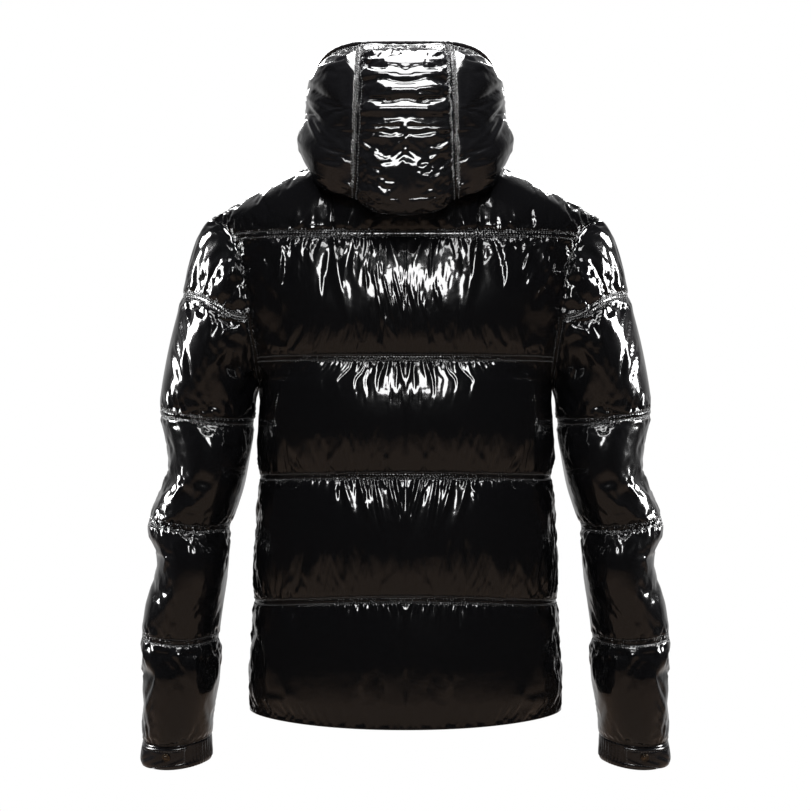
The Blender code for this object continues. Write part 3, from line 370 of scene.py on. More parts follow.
# ---- seams between the pieces ----
# where the seams' directions are worked out
SEAM_STATIONS = np.array([2.8, 2.85, 2.9, 2.95, 3.0, 3.08, 3.28, 3.5, 3.72, 3.92, 4.0, 4.15, 4.5,
                          4.85, 5.0])
SHOULDER_POINTS = 15


def mitre(first, second, lean=1.0):
    """Direction and length of the mitre between walls that face these two ways."""
    middle = unit(first + second * np.asarray(lean)[..., None])
    cosine = np.sum(middle * first, axis=-1)
    return [middle, WALL / np.clip(cosine, MITRE_LEAST, 1.0)]


def body_normals(side, u, station):
    """Unit normals of a body panel, outwards."""
    surface = lambda a, b: body_surface(side, a, b)
    return normals(surface, u, station, (0.0, 0.0), (1.0, TOP)) * -side


def sleeve_normals(turn, station):
    """Unit normals of the right sleeve, outwards."""
    return normals(sleeve_surface, turn, station, (-10.0, 0.0), (10.0, CUFF_END))


def hood_normals(share, level):
    """Unit normals of the hood, outwards."""
    return normals(hood_surface, share, level, (-1.0, NECK), (1.0, RIM))


def make_seams():
    """Points, directions and mitre lengths along the armhole, shoulder and neck seams."""
    ones = np.ones(len(SEAM_STATIONS))
    turn = armhole_turn(SEAM_STATIONS)
    lean = ARMPIT_LEAN + (1 - ARMPIT_LEAN) * ramp(np.cos(turn), -1.0, ARMPIT_LEAN_END)
    neck_share = NECK_COLUMNS / BODY_COLUMNS
    neck_u = np.linspace(0, neck_share, 2 * NECK_COLUMNS + 1)
    shoulder_u = np.linspace(neck_share, 1, SHOULDER_POINTS)
    top = lambda u: np.full(len(u), TOP)
    seams = {}
    body_at = {side: body_normals(side, ones, SEAM_STATIONS) for side in (-1, 1)}
    arm_at = {-1: sleeve_normals(turn, 0 * ones), 1: sleeve_normals(2 * math.pi - turn, 0 * ones)}
    for side in (-1, 1):
        seams["armhole", side] = [armhole(side, turn), *mitre(body_at[side], arm_at[side], lean)]
        share = 0.5 * neck_u / neck_share
        share = share if side < 0 else 1 - share
        collar = hood_normals(share, 0 * share)
        seams["neck", side] = [top_line(side, neck_u),
                               *mitre(body_normals(side, neck_u, top(neck_u)), collar)]
    both = [body_normals(side, shoulder_u, top(shoulder_u)) for side in (-1, 1)]
    seams["shoulder", 0] = [top_line(-1, shoulder_u), *mitre(*both)]
    tip = mitre(unit(body_at[-1][-1] + body_at[1][-1]), arm_at[-1][-1])
    pit = mitre(unit(body_at[-1][0] + body_at[1][0]), arm_at[-1][0], ARMPIT_LEAN)
    middle = hood_normals(np.array([0.5]), np.array([0.0]))[0]
    side_neck = mitre(unit(both[0][0] + both[1][0]), middle)
    for key, end, corner in ((("armhole", -1), -1, tip), (("armhole", 1), -1, tip),
                             (("shoulder", 0), -1, tip), (("armhole", -1), 0, pit),
                             (("armhole", 1), 0, pit), (("neck", -1), -1, side_neck),
                             (("neck", 1), -1, side_neck), (("shoulder", 0), 0, side_neck)):
        seams[key][1][end], seams[key][2][end] = corner
    return seams


def turn_to_seam(panel, seam):
    """Turn a wall's direction and thickness smoothly into those of a seam near it."""
    points, directions, lengths = seam
    inside = panel["inside"]
    whole = np.arange(len(points))
    fine = np.linspace(0, len(points) - 1, SEAM_SAMPLES * (len(points) - 1) + 1)
    along = along_path(fine, whole, points)
    flat = inside.reshape(-1, 3)
    close = np.all((flat > along.min(0) - SEAM_TURN) & (flat < along.max(0) + SEAM_TURN), axis=1)
    away = np.linalg.norm(flat[close][:, None] - along, axis=-1)
    nearest = fine[np.argmin(away, axis=1)]
    direction = along_path(nearest, whole, directions)
    near = 1 - ramp(np.min(away, axis=1), 0.0, SEAM_TURN)
    out, thick = panel["out"].reshape(-1, 3), panel["thick"].reshape(-1)
    out[close] = unit(out[close] * (1 - near[:, None]) + unit(direction) * near[:, None])
    thick[close] = thick[close] * (1 - near) + np.interp(nearest, whole, lengths) * near


# ---- quilting ----
STITCH_HALF = 0.0033  # from the middle of a double row of stitches to either row
PIN_HALF = 0.0045  # the cloth is held still this near the middle of a double row
ROW_CROWD = 0.62  # how much closer together the points lie beside a stitched line


def crowded(count):
    """Shares across a channel, closer together at both its ends."""
    t = np.arange(count) / count
    return t - ROW_CROWD * np.sin(2 * math.pi * t) / (2 * math.pi)


def channel_rows(counts, end):
    """The station of each row of points, for so many rows in each channel."""
    rows = [channel + crowded(count) for channel, count in enumerate(counts)]
    return np.append(np.concatenate(rows), float(end))


def arc_lengths(points, axis):
    """Distance of each point of a grid from its first one along an axis."""
    steps = np.linalg.norm(np.diff(points, axis=axis), axis=-1)
    total = np.cumsum(steps, axis=axis)
    shape = list(total.shape)
    shape[axis] = 1
    return np.concatenate([np.zeros(shape), total], axis=axis)


def along_path(at, steps, path):
    """Points of a path at these distances; steps are the distances of its own points."""
    return np.stack([np.interp(at, steps, path[:, k]) for k in range(3)], axis=-1)


def filled(share, width):
    """Height of a channel between double rows whose half width is this share of it."""
    inner = (share - width) / (1 - 2 * width)
    between = ROW_RIDGE * np.clip(1 - (np.minimum(share, 1 - share) / width) ** 2, 0, 1)
    return np.where((inner > 0) & (inner < 1), puff_profile(inner), between)


def body_thickness(side, u, station, spacing):
    """Thickness of a body panel; spacing is half a double row, as a share of its channel."""
    channel = np.minimum(np.floor(station), YOKE_LINE).astype(int)
    share = station - channel
    height = np.array(BODY_PUFF[side])[channel]
    to_seam = 1 - np.abs(u) ** BODY_FLAT_EDGE
    hem = np.where(channel == 0, ramp(share, *HEM_FILL), 1.0)
    squashed = ramp(station, *UNDER_ARM["low"]) - ramp(station, *UNDER_ARM["high"])
    flat = 1 - UNDER_ARM["flat"] * squashed * ramp(u, *UNDER_ARM["across"])
    zip_side = 1.0 if side < 0 else ramp(u, *ZIP_FILL)
    return WALL + height * filled(share, spacing) * hem * to_seam * flat * zip_side


def sleeve_thickness(turn, station, spacing):
    """Thickness of the sleeve, fullest on its back and front and thinner at its edges."""
    channel = np.minimum(np.floor(station), CUFF_SEAM - 1)
    share = station - channel
    across = np.cos(turn)
    outer = ramp(station, *SLEEVE_FILL["outer"])
    outer = SLEEVE_PUFF["outer"] * (CAP_FILL + (1 - CAP_FILL) * outer)
    side = np.where(across > 0, outer, SLEEVE_PUFF["inner"])
    height = SLEEVE_PUFF["depth"] * np.sin(turn) ** 2 + side * across**2
    cap = np.where(channel == 0, ramp(across, *SLEEVE_FILL["cap"]), 1.0)
    under_arm = UNDER_ARM["flat"] * ramp(-across, *SLEEVE_FILL["under_arm"])
    under_arm = 1 - under_arm * (1 - ramp(station, *SLEEVE_FILL["under_arm_ends"]))
    soft = OUTER_PINCH_SOFT * ramp(across, *SLEEVE_FILL["pinch"])
    soft = soft * ramp(station, *SLEEVE_FILL["pinch_starts"])
    full = filled(share, spacing)
    full = full + soft * (1 - ramp(station, *SLEEVE_FILL["pinch_ends"])) * (1 - full)
    return WALL + height * full * cap * under_arm


def hood_thickness(share, level):
    """Thickness of half the hood, with its full lower corner."""
    seam_share = CENTRE_COLUMNS / HOOD_COLUMNS
    centre = 1 - np.clip(share / seam_share, 0, 1) ** HOOD_FALL["centre"]
    centre = HOOD_PUFF["centre"] * centre
    across = np.clip((share - seam_share) / (1 - seam_share), 0, 1)
    to_front = ramp(across, *HOOD_FILL["to_front"])
    height = HOOD_PUFF["side"] + (HOOD_PUFF["front"] - HOOD_PUFF["side"]) * to_front
    sides = height * np.clip(HOOD_FALL["seam"] * across, 0, 1) ** HOOD_FALL["round"]
    sides = sides * np.clip(HOOD_FALL["zip"] * (1 - across), 0, 1) ** HOOD_FALL["round"]
    body = np.where(share <= seam_share, centre, sides)
    back_share = ramp(level, *HOOD_FILL["back"])
    front_share = ramp(level, *HOOD_FILL["front"])
    full = back_share + (front_share - back_share) * ramp(share, *HOOD_FILL["fore"])
    corner = ramp(share, *CORNER_AT["starts"]) * (1 - ramp(share, *CORNER_AT["ends"]))
    corner = HOOD_CORNER * corner * ramp(level, *CORNER_AT["low"])
    corner = corner * (1 - ramp(level, *CORNER_AT["high"]))
    return WALL + body * full * (1 - ramp(level, *HOOD_FILL["rim"])) + corner


# ---- panels as grids of points ----
BODY_COUNTS = (22, 24, 24, 25, 24)  # rows of points in each channel, before they are doubled
SLEEVE_COUNTS = (20, 24, 24, 24, 22)
HALF_COLUMNS = 96
SLEEVE_COLUMNS = 84
HOOD_LEVELS = np.concatenate([np.linspace(0, 6, 31)[:-1], np.linspace(6, 12, 75)])
CENTRE_POINTS, SIDE_POINTS = 18, 50
CHANNEL_LEAST = 0.02  # a channel counts as at least this deep where it runs out in a seam
# what a panel holds for each of its points
GRIDS = ("inside", "outer", "along", "across", "down", "station")
MIRROR = np.array([-1.0, 1.0, 1.0])


def make_panel(inside, out, thick):
    """Points on the plain inside, with the ways outwards and the wall's thickness."""
    return {"inside": inside, "out": out.copy(), "thick": np.array(thick)}


def finish_base(panel):
    """The panel with its outer points."""
    panel["outer"] = panel["inside"] + panel["out"] * panel["thick"][..., None]
    return panel


def body_panel(side, seams):
    """The right half of the back (side -1) or the right front (side 1)."""
    u, station = np.meshgrid(np.linspace(0, 1, HALF_COLUMNS + 1), channel_rows(BODY_COUNTS, TOP))
    inside = body_surface(side, u, station)
    down = arc_lengths(inside, 0)
    lines = [down[row] for row in line_rows(BODY_COUNTS)]
    channel = np.minimum(np.floor(station), YOKE_LINE).astype(int)
    deep = np.array([np.mean(b - a) for a, b in zip(lines[:-1], lines[1:])])
    panel = make_panel(inside, body_normals(side, u, station),
                       body_thickness(side, u, station, STITCH_HALF / deep[channel]))
    for seam in (("armhole", side), ("shoulder", 0), ("neck", side)):
        turn_to_seam(panel, seams[seam])
    panel.update(along=arc_lengths(inside, 1), down=down, lines=lines[1:-1], station=station,
                 across=u)
    return finish_base(panel)


def line_rows(counts):
    """The rows of points at which the channels start and end."""
    return [0, *np.cumsum(counts)]


def sleeve_panel(seams):
    """The right sleeve as a tube, from the armhole to the cuff seam."""
    turns = np.linspace(0, 2 * math.pi, SLEEVE_COLUMNS + 1)[:-1] + math.pi
    turn, station = np.meshgrid(turns, channel_rows(SLEEVE_COUNTS, CUFF_SEAM))
    inside = sleeve_surface(turn, station)
    down = arc_lengths(inside, 0)
    lines = [down[row] for row in line_rows(SLEEVE_COUNTS)]
    channel = np.minimum(np.floor(station), CUFF_SEAM - 1).astype(int)
    deep = np.stack([b - a for a, b in zip(lines[:-1], lines[1:])])
    deep = np.maximum(deep, CHANNEL_LEAST)
    spacing = STITCH_HALF / deep[channel, np.arange(SLEEVE_COLUMNS)[None, :]]
    panel = make_panel(inside, sleeve_normals(turn, station),
                       sleeve_thickness(turn, station, spacing))
    for side in (-1, 1):
        turn_to_seam(panel, seams["armhole", side])
    closed = np.concatenate([inside, inside[:, :1]], axis=1)
    panel.update(along=arc_lengths(closed, 1)[:, :-1], down=down, lines=lines[1:-1],
                 station=station, across=turn)
    return finish_base(panel)


def hood_panel(seams):
    """The right half of the hood: half its centre panel and the side panel."""
    seam_share = CENTRE_COLUMNS / HOOD_COLUMNS
    shares = np.concatenate([np.linspace(0, seam_share, CENTRE_POINTS + 1)[:-1],
                             np.linspace(seam_share, 1, SIDE_POINTS + 1)])
    share, level = np.meshgrid(shares, HOOD_LEVELS)
    inside = hood_surface(share, level)
    panel = make_panel(inside, hood_normals(share, level), hood_thickness(share, level))
    for side in (-1, 1):
        turn_to_seam(panel, seams["neck", side])
    along = arc_lengths(inside, 1)
    panel.update(along=along, down=arc_lengths(inside, 0), lines=[], station=level, across=share,
                 seam=along[:, CENTRE_POINTS])
    return finish_base(panel)


# ---- filling the panels ----
def held_points(panel, closed):
    """True where the cloth is held: at its stitched lines and its edges."""
    held = np.zeros(panel["down"].shape, bool)
    for line in panel["lines"]:
        held |= np.abs(panel["down"] - line) < PIN_HALF
    if "seam" in panel:
        held |= np.abs(panel["along"] - panel["seam"][:, None]) < PIN_HALF
        held |= panel["station"] < HOOD_HELD
    held[[0, 1, -2, -1]] = True
    if not closed:
        held[:, [0, -2, -1]] = True
    return held


AIR = {"pressure": 4.0, "frames": 14}
# spare cloth of each panel, as a share of its size, and the most that its wrinkles move it
SPARE = {"back": (0.06, 0.006), "front": (0.05, 0.005), "sleeve": (0.06, 0.005),
         "hood_centre": (0.08, 0.007), "hood_side": (0.06, 0.005)}
CENTRE_SMOOTH = {"share": 0.6, "width": 0.28}  # how the back's middle keeps fewer wrinkles
SWELLING_LOST = 0.9  # share of the even swelling that is taken away again, to leave the wrinkles
EVENED_POINTS = 7


def numbered(rows, columns, closed, first=0):
    """Point numbers in rows and columns; a closed grid ends with its first column again."""
    grid = first + np.arange(rows * columns).reshape(rows, columns)
    return np.hstack([grid, grid[:, :1]]) if closed else grid


def quads(grid):
    """The faces between the rows and columns of a grid of point numbers."""
    corners = [grid[:-1, :-1], grid[:-1, 1:], grid[1:, 1:], grid[1:, :-1]]
    return np.stack(corners, axis=-1).reshape(-1, 4).tolist()


def blow_up(name, panel, closed=False, wrinkled_along=1, kept=1.0):
    """Blow the cloth out with air for some frames, so that what is spare wrinkles."""
    slack, most = SPARE[name]
    frames = AIR["frames"]
    rows, columns = panel["outer"].shape[:2]
    start = panel["outer"].reshape(-1, 3)
    mesh = bpy.data.meshes.new(name + "_blown")
    mesh.from_pydata(start.tolist(), [], quads(numbered(rows, columns, closed)))
    obj = bpy.data.objects.new(name + "_blown", mesh)
    bpy.context.scene.collection.objects.link(obj)
    group = obj.vertex_groups.new(name="held")
    group.add(np.flatnonzero(held_points(panel, closed)).tolist(), 1.0, "REPLACE")
    cloth = obj.modifiers.new("cloth", "CLOTH")
    settings = cloth.settings
    settings.quality = 4
    settings.mass = 0.3
    settings.tension_stiffness = settings.compression_stiffness = 12.0
    settings.shear_stiffness = 4.0
    settings.bending_stiffness = 0.02
    settings.shrink_min = -slack
    settings.vertex_group_mass = "held"
    settings.use_pressure = True
    settings.uniform_pressure_force = AIR["pressure"]
    settings.effector_weights.gravity = 0.0
    cloth.collision_settings.use_collision = False
    cloth.point_cache.frame_start, cloth.point_cache.frame_end = 1, frames
    scene = bpy.context.scene
    for frame_number in range(1, frames + 1):
        scene.frame_set(frame_number)
    blown = obj.evaluated_get(bpy.context.evaluated_depsgraph_get()).data
    end = np.zeros(len(start) * 3)
    blown.vertices.foreach_get("co", end)
    bpy.data.objects.remove(obj)
    bpy.data.meshes.remove(mesh)
    scene.frame_set(1)
    moved = (end.reshape(-1, 3) - start).reshape(rows, columns, 3)
    moved -= SWELLING_LOST * evened(moved, wrinkled_along, EVENED_POINTS, closed)
    size = np.linalg.norm(moved, axis=-1, keepdims=True)
    moved *= np.tanh(size / most) * most / np.maximum(size, 1e-9)
    panel["outer"] = panel["outer"] + moved * np.asarray(kept)[..., None]


def evened(grid, axis, reach, closed):
    """Running mean of a grid along one axis."""
    grid = np.moveaxis(grid, axis, 0)
    edges = ((reach, reach), *(((0, 0),) * (grid.ndim - 1)))
    wide = np.pad(grid, edges, mode="wrap" if closed else "edge")
    total = np.cumsum(np.concatenate([np.zeros_like(wide[:1]), wide]), axis=0)
    count = 2 * reach + 1
    return np.moveaxis((total[count:] - total[:-count]) / count, 0, axis)


def doubled(grid, axis, closed=False):
    """Twice as many rows or columns, the new ones on a smooth curve between the old."""
    grid = np.moveaxis(grid, axis, 0)
    if closed:
        around = np.concatenate([grid[-1:], grid, grid[:2]])
    else:
        around = np.concatenate([2 * grid[:1] - grid[1:2], grid, 2 * grid[-1:] - grid[-2:-1]])
    between = (-around[:-3] + 9 * around[1:-2] + 9 * around[2:-1] - around[3:]) / 16
    count = len(grid)
    result = np.zeros((2 * count - (0 if closed else 1),) + grid.shape[1:])
    result[0::2] = grid
    result[1::2] = between
    return np.moveaxis(result, 0, axis)


def refine(panel, closed):
    """The same panel with its points doubled both ways."""
    for key in ("inside", "outer"):
        panel[key] = doubled(doubled(panel[key], 0), 1, closed)
    for key in ("along", "down", "station", "across"):
        value = doubled(panel[key], 0)
        if closed and key in ("along", "across"):
            turns = panel["inside"].shape[1]
            value = np.stack([np.interp(np.arange(turns) / 2, np.arange(turns // 2 + 1),
                                        np.append(row, 2 * row[-1] - row[-2])) for row in value])
        else:
            value = doubled(value, 1, closed)
        panel[key] = value
    panel["lines"] = [doubled(line, 0, closed) for line in panel["lines"]]
    if "seam" in panel:
        panel["seam"] = doubled(panel["seam"], 0)


def grid_normals(points, closed=False):
    """Unit normals of a grid of points."""
    if closed:
        around = np.concatenate([points[:, -1:], points, points[:, :1]], axis=1)
        across = around[:, 2:] - around[:, :-2]
    else:
        across = np.gradient(points, axis=1)
    return unit(np.cross(across, np.gradient(points, axis=0)))


# ---- puckers and folds ----
# main creases of the back, in millimetres: stitched line from the hem up, below (-1) or above (1)
# it, distance from the centre, length, lean to the centre, width and rise
BACK_CREASES = (
    (0, -1, 6, 26, 0.35, 2.6, 1.9), (0, -1, 17, 24, 0.3, 2.2, 1.8), (0, -1, 28, 26, 0.25, 2.4, 2),
    (0, -1, 39, 23, 0.2, 2.2, 1.7), (0, -1, 50, 26, 0.15, 2.4, 1.8),
    (0, -1, 61, 22, 0.12, 2.2, 1.7), (0, -1, 72, 27, 0.15, 2.4, 1.9), (0, -1, 84, 18, 0, 2, 1.2),
    (0, -1, 104, 16, 0, 2, 0.9), (1, -1, 12, 60, 0.18, 2.8, 2.7), (1, -1, 21, 74, 0.2, 2.4, 2.3),
    (1, -1, 29, 28, 0.5, 2.2, 1.8), (1, -1, 37, 90, 0.2, 2.2, 2.3), (1, -1, 47, 48, 0.2, 2.6, 2.3),
    (1, -1, 54, 76, 0.24, 3.2, 3), (1, -1, 63, 30, 0.15, 2.2, 1.7),
    (1, -1, 72, 62, 0.26, 3.4, 2.8), (1, -1, 82, 40, 0.12, 3, 2.2), (1, -1, 92, 16, 0.1, 2, 1.3),
    (1, -1, 126, 14, 0, 1.8, 1), (2, -1, 6, 44, 0.12, 2.4, 2.4), (2, -1, 19, 30, -0.2, 2.4, 2.2),
    (2, -1, 30, 34, -0.1, 3, 1.8), (2, -1, 41, 17, 0.3, 2, 1.6), (2, -1, 58, 15, 0, 2, 1),
    (2, -1, 73, 20, -0.1, 2.2, 1.2), (2, -1, 128, 26, -0.25, 2.2, 1.9),
    (2, -1, 136, 16, 0.3, 2, 1.5), (2, -1, 158, 28, 0, 2.4, 1.8), (3, -1, 20, 52, 0.25, 3.6, 1.8),
    (3, -1, 42, 34, 0.3, 3, 1.6), (3, -1, 84, 116, 0.17, 5, 4.2), (3, -1, 97, 30, -0.15, 2.6, 1.8),
    (3, -1, 117, 32, -0.2, 2.8, 2.3), (3, -1, 126, 42, -0.45, 3, 2.4),
    (3, -1, 136, 26, -0.3, 2.4, 1.6), (3, -1, 167, 28, -0.2, 3, 2.2),
    (3, -1, 62, 22, -0.1, 2.4, 1.3), (3, 1, 40, 14, 0.4, 2.4, 1.6), (3, 1, 70, 30, 0.25, 2.8, 2),
    (3, 1, 90, 34, 0.15, 2.8, 2.2), (3, 1, 112, 26, 0.1, 2.4, 1.5), (3, 1, 130, 30, 0.1, 2.6, 1.4),
    (2, 1, 24, 44, -0.5, 5, 1.2), (2, 1, 60, 36, 0.3, 5, 1), (2, 1, 104, 40, 0.2, 5, 1.1),
    (1, 1, 12, 36, -0.6, 4, 1.5), (1, 1, 30, 42, 0.5, 5, 1.6), (1, 1, 52, 40, 0.8, 4, 1.5),
    (1, 1, 74, 38, -0.6, 5, 1.4), (1, 1, 96, 42, 0.6, 4, 1.6), (1, 1, 124, 44, 0.3, 5, 1.5),
    (1, 1, 148, 40, 0.2, 4, 1.2), (0, 1, 10, 30, -0.7, 4, 1.2), (0, 1, 34, 34, 0.6, 5, 1.3),
    (0, 1, 58, 32, -0.6, 4, 1.2), (0, 1, 86, 34, 0.5, 5, 1.3), (0, 1, 118, 36, 0.7, 5, 1.3),
    (0, 1, 146, 44, 0.9, 5, 1.8),
)
# folds of the back that lie on one side only, in millimetres: x and z of both ends, width and rise
BACK_FOLDS = (
    (-28, -137, -9, -206, 2, 2.4), (-20, -148, -6, -201, 1.8, 2.2), (-15, -136, 3, -203, 2.4, 2.6),
    (-9, -139, 10, -206, 2, 2), (-34, -158, -20, -220, 3.2, 2.6), (-28, -186, -9, -219, 2.6, 2.2),
    (14, -160, 28, -197, 3, 1.6), (32, -146, 42, -182, 2.6, 2.2), (-47, -132, -45, -156, 2.6, 1.8),
    (-38, -136, -32, -162, 2.8, 1.8), (4, -150, 16, -190, 2.6, 1.4),
)
FRONT_FOLDS_LOWER = 9.0  # how much lower the sleeve's folds lie on its front, in millimetres
# main folds of the right sleeve's back, in millimetres: x and z of both ends, width and rise
SLEEVE_FOLDS = (
    (257, -118, 262, -141, 2.4, 3), (249, -120, 252, -143, 3.4, 4.4),
    (242, -122, 240, -142, 2, 2.6), (221, -126, 219, -142, 2.4, 2.4),
    (208, -132, 213, -146, 2, 1.8), (228, -134, 226, -146, 1.8, 1.6),
    (262, -163, 255, -196, 2.4, 3.6), (270, -190, 262, -215, 2.6, 3.4),
    (274, -210, 266, -236, 2.8, 3.8), (280, -222, 267, -262, 3, 4.4),
    (262, -226, 255, -262, 3, 4.2), (249, -246, 243, -264, 2.2, 2.8),
    (233, -220, 224, -238, 2.6, 3.6), (221, -218, 215, -232, 2.2, 2.2),
    (211, -190, 201, -206, 3.6, 2.6), (213, -206, 206, -220, 2.4, 1.8),
    (246, -168, 240, -190, 4, 1.4), (240, -238, 234, -262, 2.2, 1.6),
    (284, -276, 277, -300, 2.6, 3.8), (277, -278, 268, -306, 2.4, 4),
    (269, -280, 261, -304, 2.4, 3.4), (256, -282, 240, -296, 2.2, 2.2),
    (243, -284, 221, -300, 3, 3), (212, -286, 207, -298, 2.6, 2.2), (232, -280, 226, -292, 2, 1.8),
    (252, -276, 247, -290, 1.8, 1.6), (286, -330, 276, -352, 3, 1.6),
    (270, -352, 254, -392, 5, 1.6), (246, -362, 232, -400, 5, 1.3), (228, -400, 216, -406, 3, 1.8),
    (236, -396, 226, -410, 3, 1.8), (244, -392, 232, -404, 2.6, 1.6),
    (305, -424, 299, -452, 3, 4.2), (297, -424, 291, -450, 2.8, 4.2),
    (288, -426, 283, -448, 2.6, 3.8), (280, -426, 272, -450, 2.8, 4),
    (272, -428, 260, -452, 3, 3.8), (262, -430, 254, -460, 2.4, 3),
    (250, -430, 246, -448, 2.2, 2.6), (241, -432, 236, -446, 2.4, 2.6),
    (231, -434, 228, -444, 2.2, 2), (221, -434, 218, -446, 2.4, 2.4),
    (308, -462, 302, -494, 4, 2.6), (306, -500, 299, -530, 3.4, 2.6), (299, -506, 292, -534, 3, 2),
    (250, -500, 240, -532, 6, 1.2), (312, -560, 303, -590, 3.4, 3.4),
    (296, -562, 288, -580, 2.6, 2.6), (285, -564, 280, -582, 2.2, 3),
    (262, -584, 258, -566, 2.2, 2.4), (252, -584, 247, -566, 2.4, 3),
    (240, -564, 236, -578, 2.4, 1.4), (316, -650, 300, -616, 2.6, 2.4),
    (314, -668, 302, -646, 2.4, 2), (310, -684, 296, -668, 2.2, 1.8),
    (300, -640, 270, -690, 6, 1.3), (272, -610, 250, -660, 7, 1.1), (240, -650, 233, -690, 4, 1.6),
)
# folds across the hood's centre panel: height above the neck, middle, half length, tilt, width
# and rise, in millimetres; a fold whose middle isn't 0 is there on both sides
HOOD_FOLDS = (
    (-56, 0, 46, 0, 24, 3), (-4, 0, 54, 0, 13, -4.2), (112, 34, 22, 0.8, 3.4, -1.8),
    (104, 0, 24, 0, 5, 1.6), (99, 36, 22, 1.8, 4, -3.2), (95, 8, 18, 3.4, 2.6, -2.2),
    (90, 0, 50, 0, 7, 3), (82, 40, 24, -1.4, 3.8, -3.4), (79, 6, 26, 1.2, 2.6, -1.8),
    (70, 0, 54, 0.2, 7, 3.2), (61, 38, 26, 1.8, 3.6, -3.4), (57, 12, 28, -1.8, 2.6, -2.4),
    (47, 0, 54, 0, 6.5, 3.2), (38, 34, 26, 1, 3.8, -2.4), (24, 40, 15, 0, 2, 2),
    (30, 16, 16, -2, 3, 1.4), (28, 30, 12, 2.5, 2.4, 1.2), (2, 42, 13, 7, 2.2, 2.2),
    (-8, 34, 9, 8, 2.2, 1.8), (-22, 40, 11, 4, 2.4, 2), (6, 8, 20, -7, 1.8, 1.2),
    (-2, 2, 14, -8, 1.8, 1.2), (-30, 36, 14, 3, 3, 1.6), (-52, 24, 20, 5, 3, 1),
)
# soft folds of the hood's sides: share of the height, distance from the seam, width and rise
HOOD_SIDE_FOLDS = (
    (0.55, 0.075, 0.0030, 0.0026), (0.58, 0.062, 0.0024, 0.0020), (0.61, 0.080, 0.0030, -0.0022),
    (0.64, 0.070, 0.0026, 0.0018), (0.70, 0.090, 0.0036, 0.0022), (0.76, 0.075, 0.0040, -0.0016),
    (0.82, 0.085, 0.0036, 0.0018), (0.88, 0.060, 0.0032, 0.0016), (0.92, 0.080, 0.0030, -0.0014),
)
CREASE_RISE = 1.8  # how much higher the back's creases rise than their table says
# how a crease strays from its table: place in millimetres, lean, shares of length and of rise
CREASE_STRAY = {"place": 0.6, "lean": 0.03, "length": (0.9, 1.1), "rise": (0.85, 1.15)}
# an uneven row of puckers: the first one's place, the step to the next, size, lean and width
ROW_STRAY = {"first": (0.2, 0.8), "step": (0.5, 1.7), "size": (0.4, 1.0), "lean": 0.12,
             "width": (0.0016, 0.0030)}
EDGE_STRAY = {"step": (0.5, 1.6), "size": (0.4, 1.0), "lean": 0.25, "width": (0.0011, 0.0022)}
# a pucker's lean and width along its length, and where it starts and how it fades out
PUCKER = {"reach": 5, "lean": (0.7, 0.5), "width": (0.6, 0.8), "start": 0.6, "start_length": 0.005,
          "fade": 1.2}


def ridge(off):
    """Height across a fold by the distance squared: a ridge between shallow valleys."""
    return np.exp(-off) - 0.4 * np.exp(-off / 5)


def add_pucker(height, along, away, at, lean, length, width, rise):
    """One ridge that runs away from a stitched line, widest halfway, and fades out."""
    reach = PUCKER["reach"] * width + abs(lean) * length
    columns = np.flatnonzero(np.any(np.abs(along - at) < reach, axis=0))
    if not len(columns):
        return
    part = slice(columns[0], columns[-1] + 1)
    t = away[:, part] / length
    (lean_first, lean_later), (least, more) = PUCKER["lean"], PUCKER["width"]
    middle = at + lean * away[:, part] * (lean_first + lean_later * t)
    spread = width * (least + more * np.sin(math.pi * np.clip(t, 0, 1)))
    start = (away[:, part] - PUCKER["start"] * STITCH_HALF) / PUCKER["start_length"]
    fade_out = np.clip(1 - t, 0, 1) ** PUCKER["fade"] * np.clip(start, 0, 1) * (t > 0)
    height[:, part] += rise * fade_out * ridge(((along[:, part] - middle) / spread) ** 2)


def pucker_line(panel, height, line, sign, rng, spacing, length, rise, lean=0.0, fan=0.0):
    """Uneven puckers on one side of a stitched line; fan leans them to its middle."""
    away = sign * (panel["down"] - line)
    on_line = panel["along"][np.argmin(np.abs(panel["down"] - line).mean(axis=1))]
    low, high = on_line[0], on_line[-1]
    at = low + spacing * rng.uniform(*ROW_STRAY["first"])
    while at < high:
        share = 2 * (at - low) / (high - low) - 1
        size = rng.uniform(*ROW_STRAY["size"])
        leaning = rng.normal(lean, ROW_STRAY["lean"]) - fan * share
        reach = length[0] + (length[1] - length[0]) * rng.random() ** 2
        width = rng.uniform(*ROW_STRAY["width"])
        add_pucker(height, panel["along"], away, at, leaning, reach, width, rise * size)
        at += spacing * rng.uniform(*ROW_STRAY["step"])


def edge_puckers(panel, height, edge, inward, low, high, rng, spacing, length, rise):
    """Uneven puckers that run in from a panel's side."""
    away = inward * (panel["along"] - edge[:, None])
    at = low + spacing * rng.random()
    while at < high:
        leaning = rng.normal(0, EDGE_STRAY["lean"])
        reach = length[0] + (length[1] - length[0]) * rng.random() ** 2
        width = rng.uniform(*EDGE_STRAY["width"])
        size = rng.uniform(*EDGE_STRAY["size"])
        add_pucker(height.T, panel["down"].T, away.T, at, leaning, reach, width, rise * size)
        at += spacing * rng.uniform(*EDGE_STRAY["step"])


def cross_folds(panel, height, rows):
    """Folds across the hood's centre, as HOOD_FOLDS says."""
    x, z = panel["outer"][..., 0] * 1000, panel["outer"][..., 2] * 1000
    behind = panel["station"] > POUCH
    for at, middle, reach, tilt, width, rise in rows:
        for side in ((1,) if middle == 0 else (-1, 1)):
            off = z - at - tilt * side * (x - side * middle) / 10
            share = np.clip(np.abs(x - side * middle) / reach, 0, 1)
            height += behind * rise / 1000 * np.exp(-(off / width) ** 2) * (1 - share**2) ** 1.2


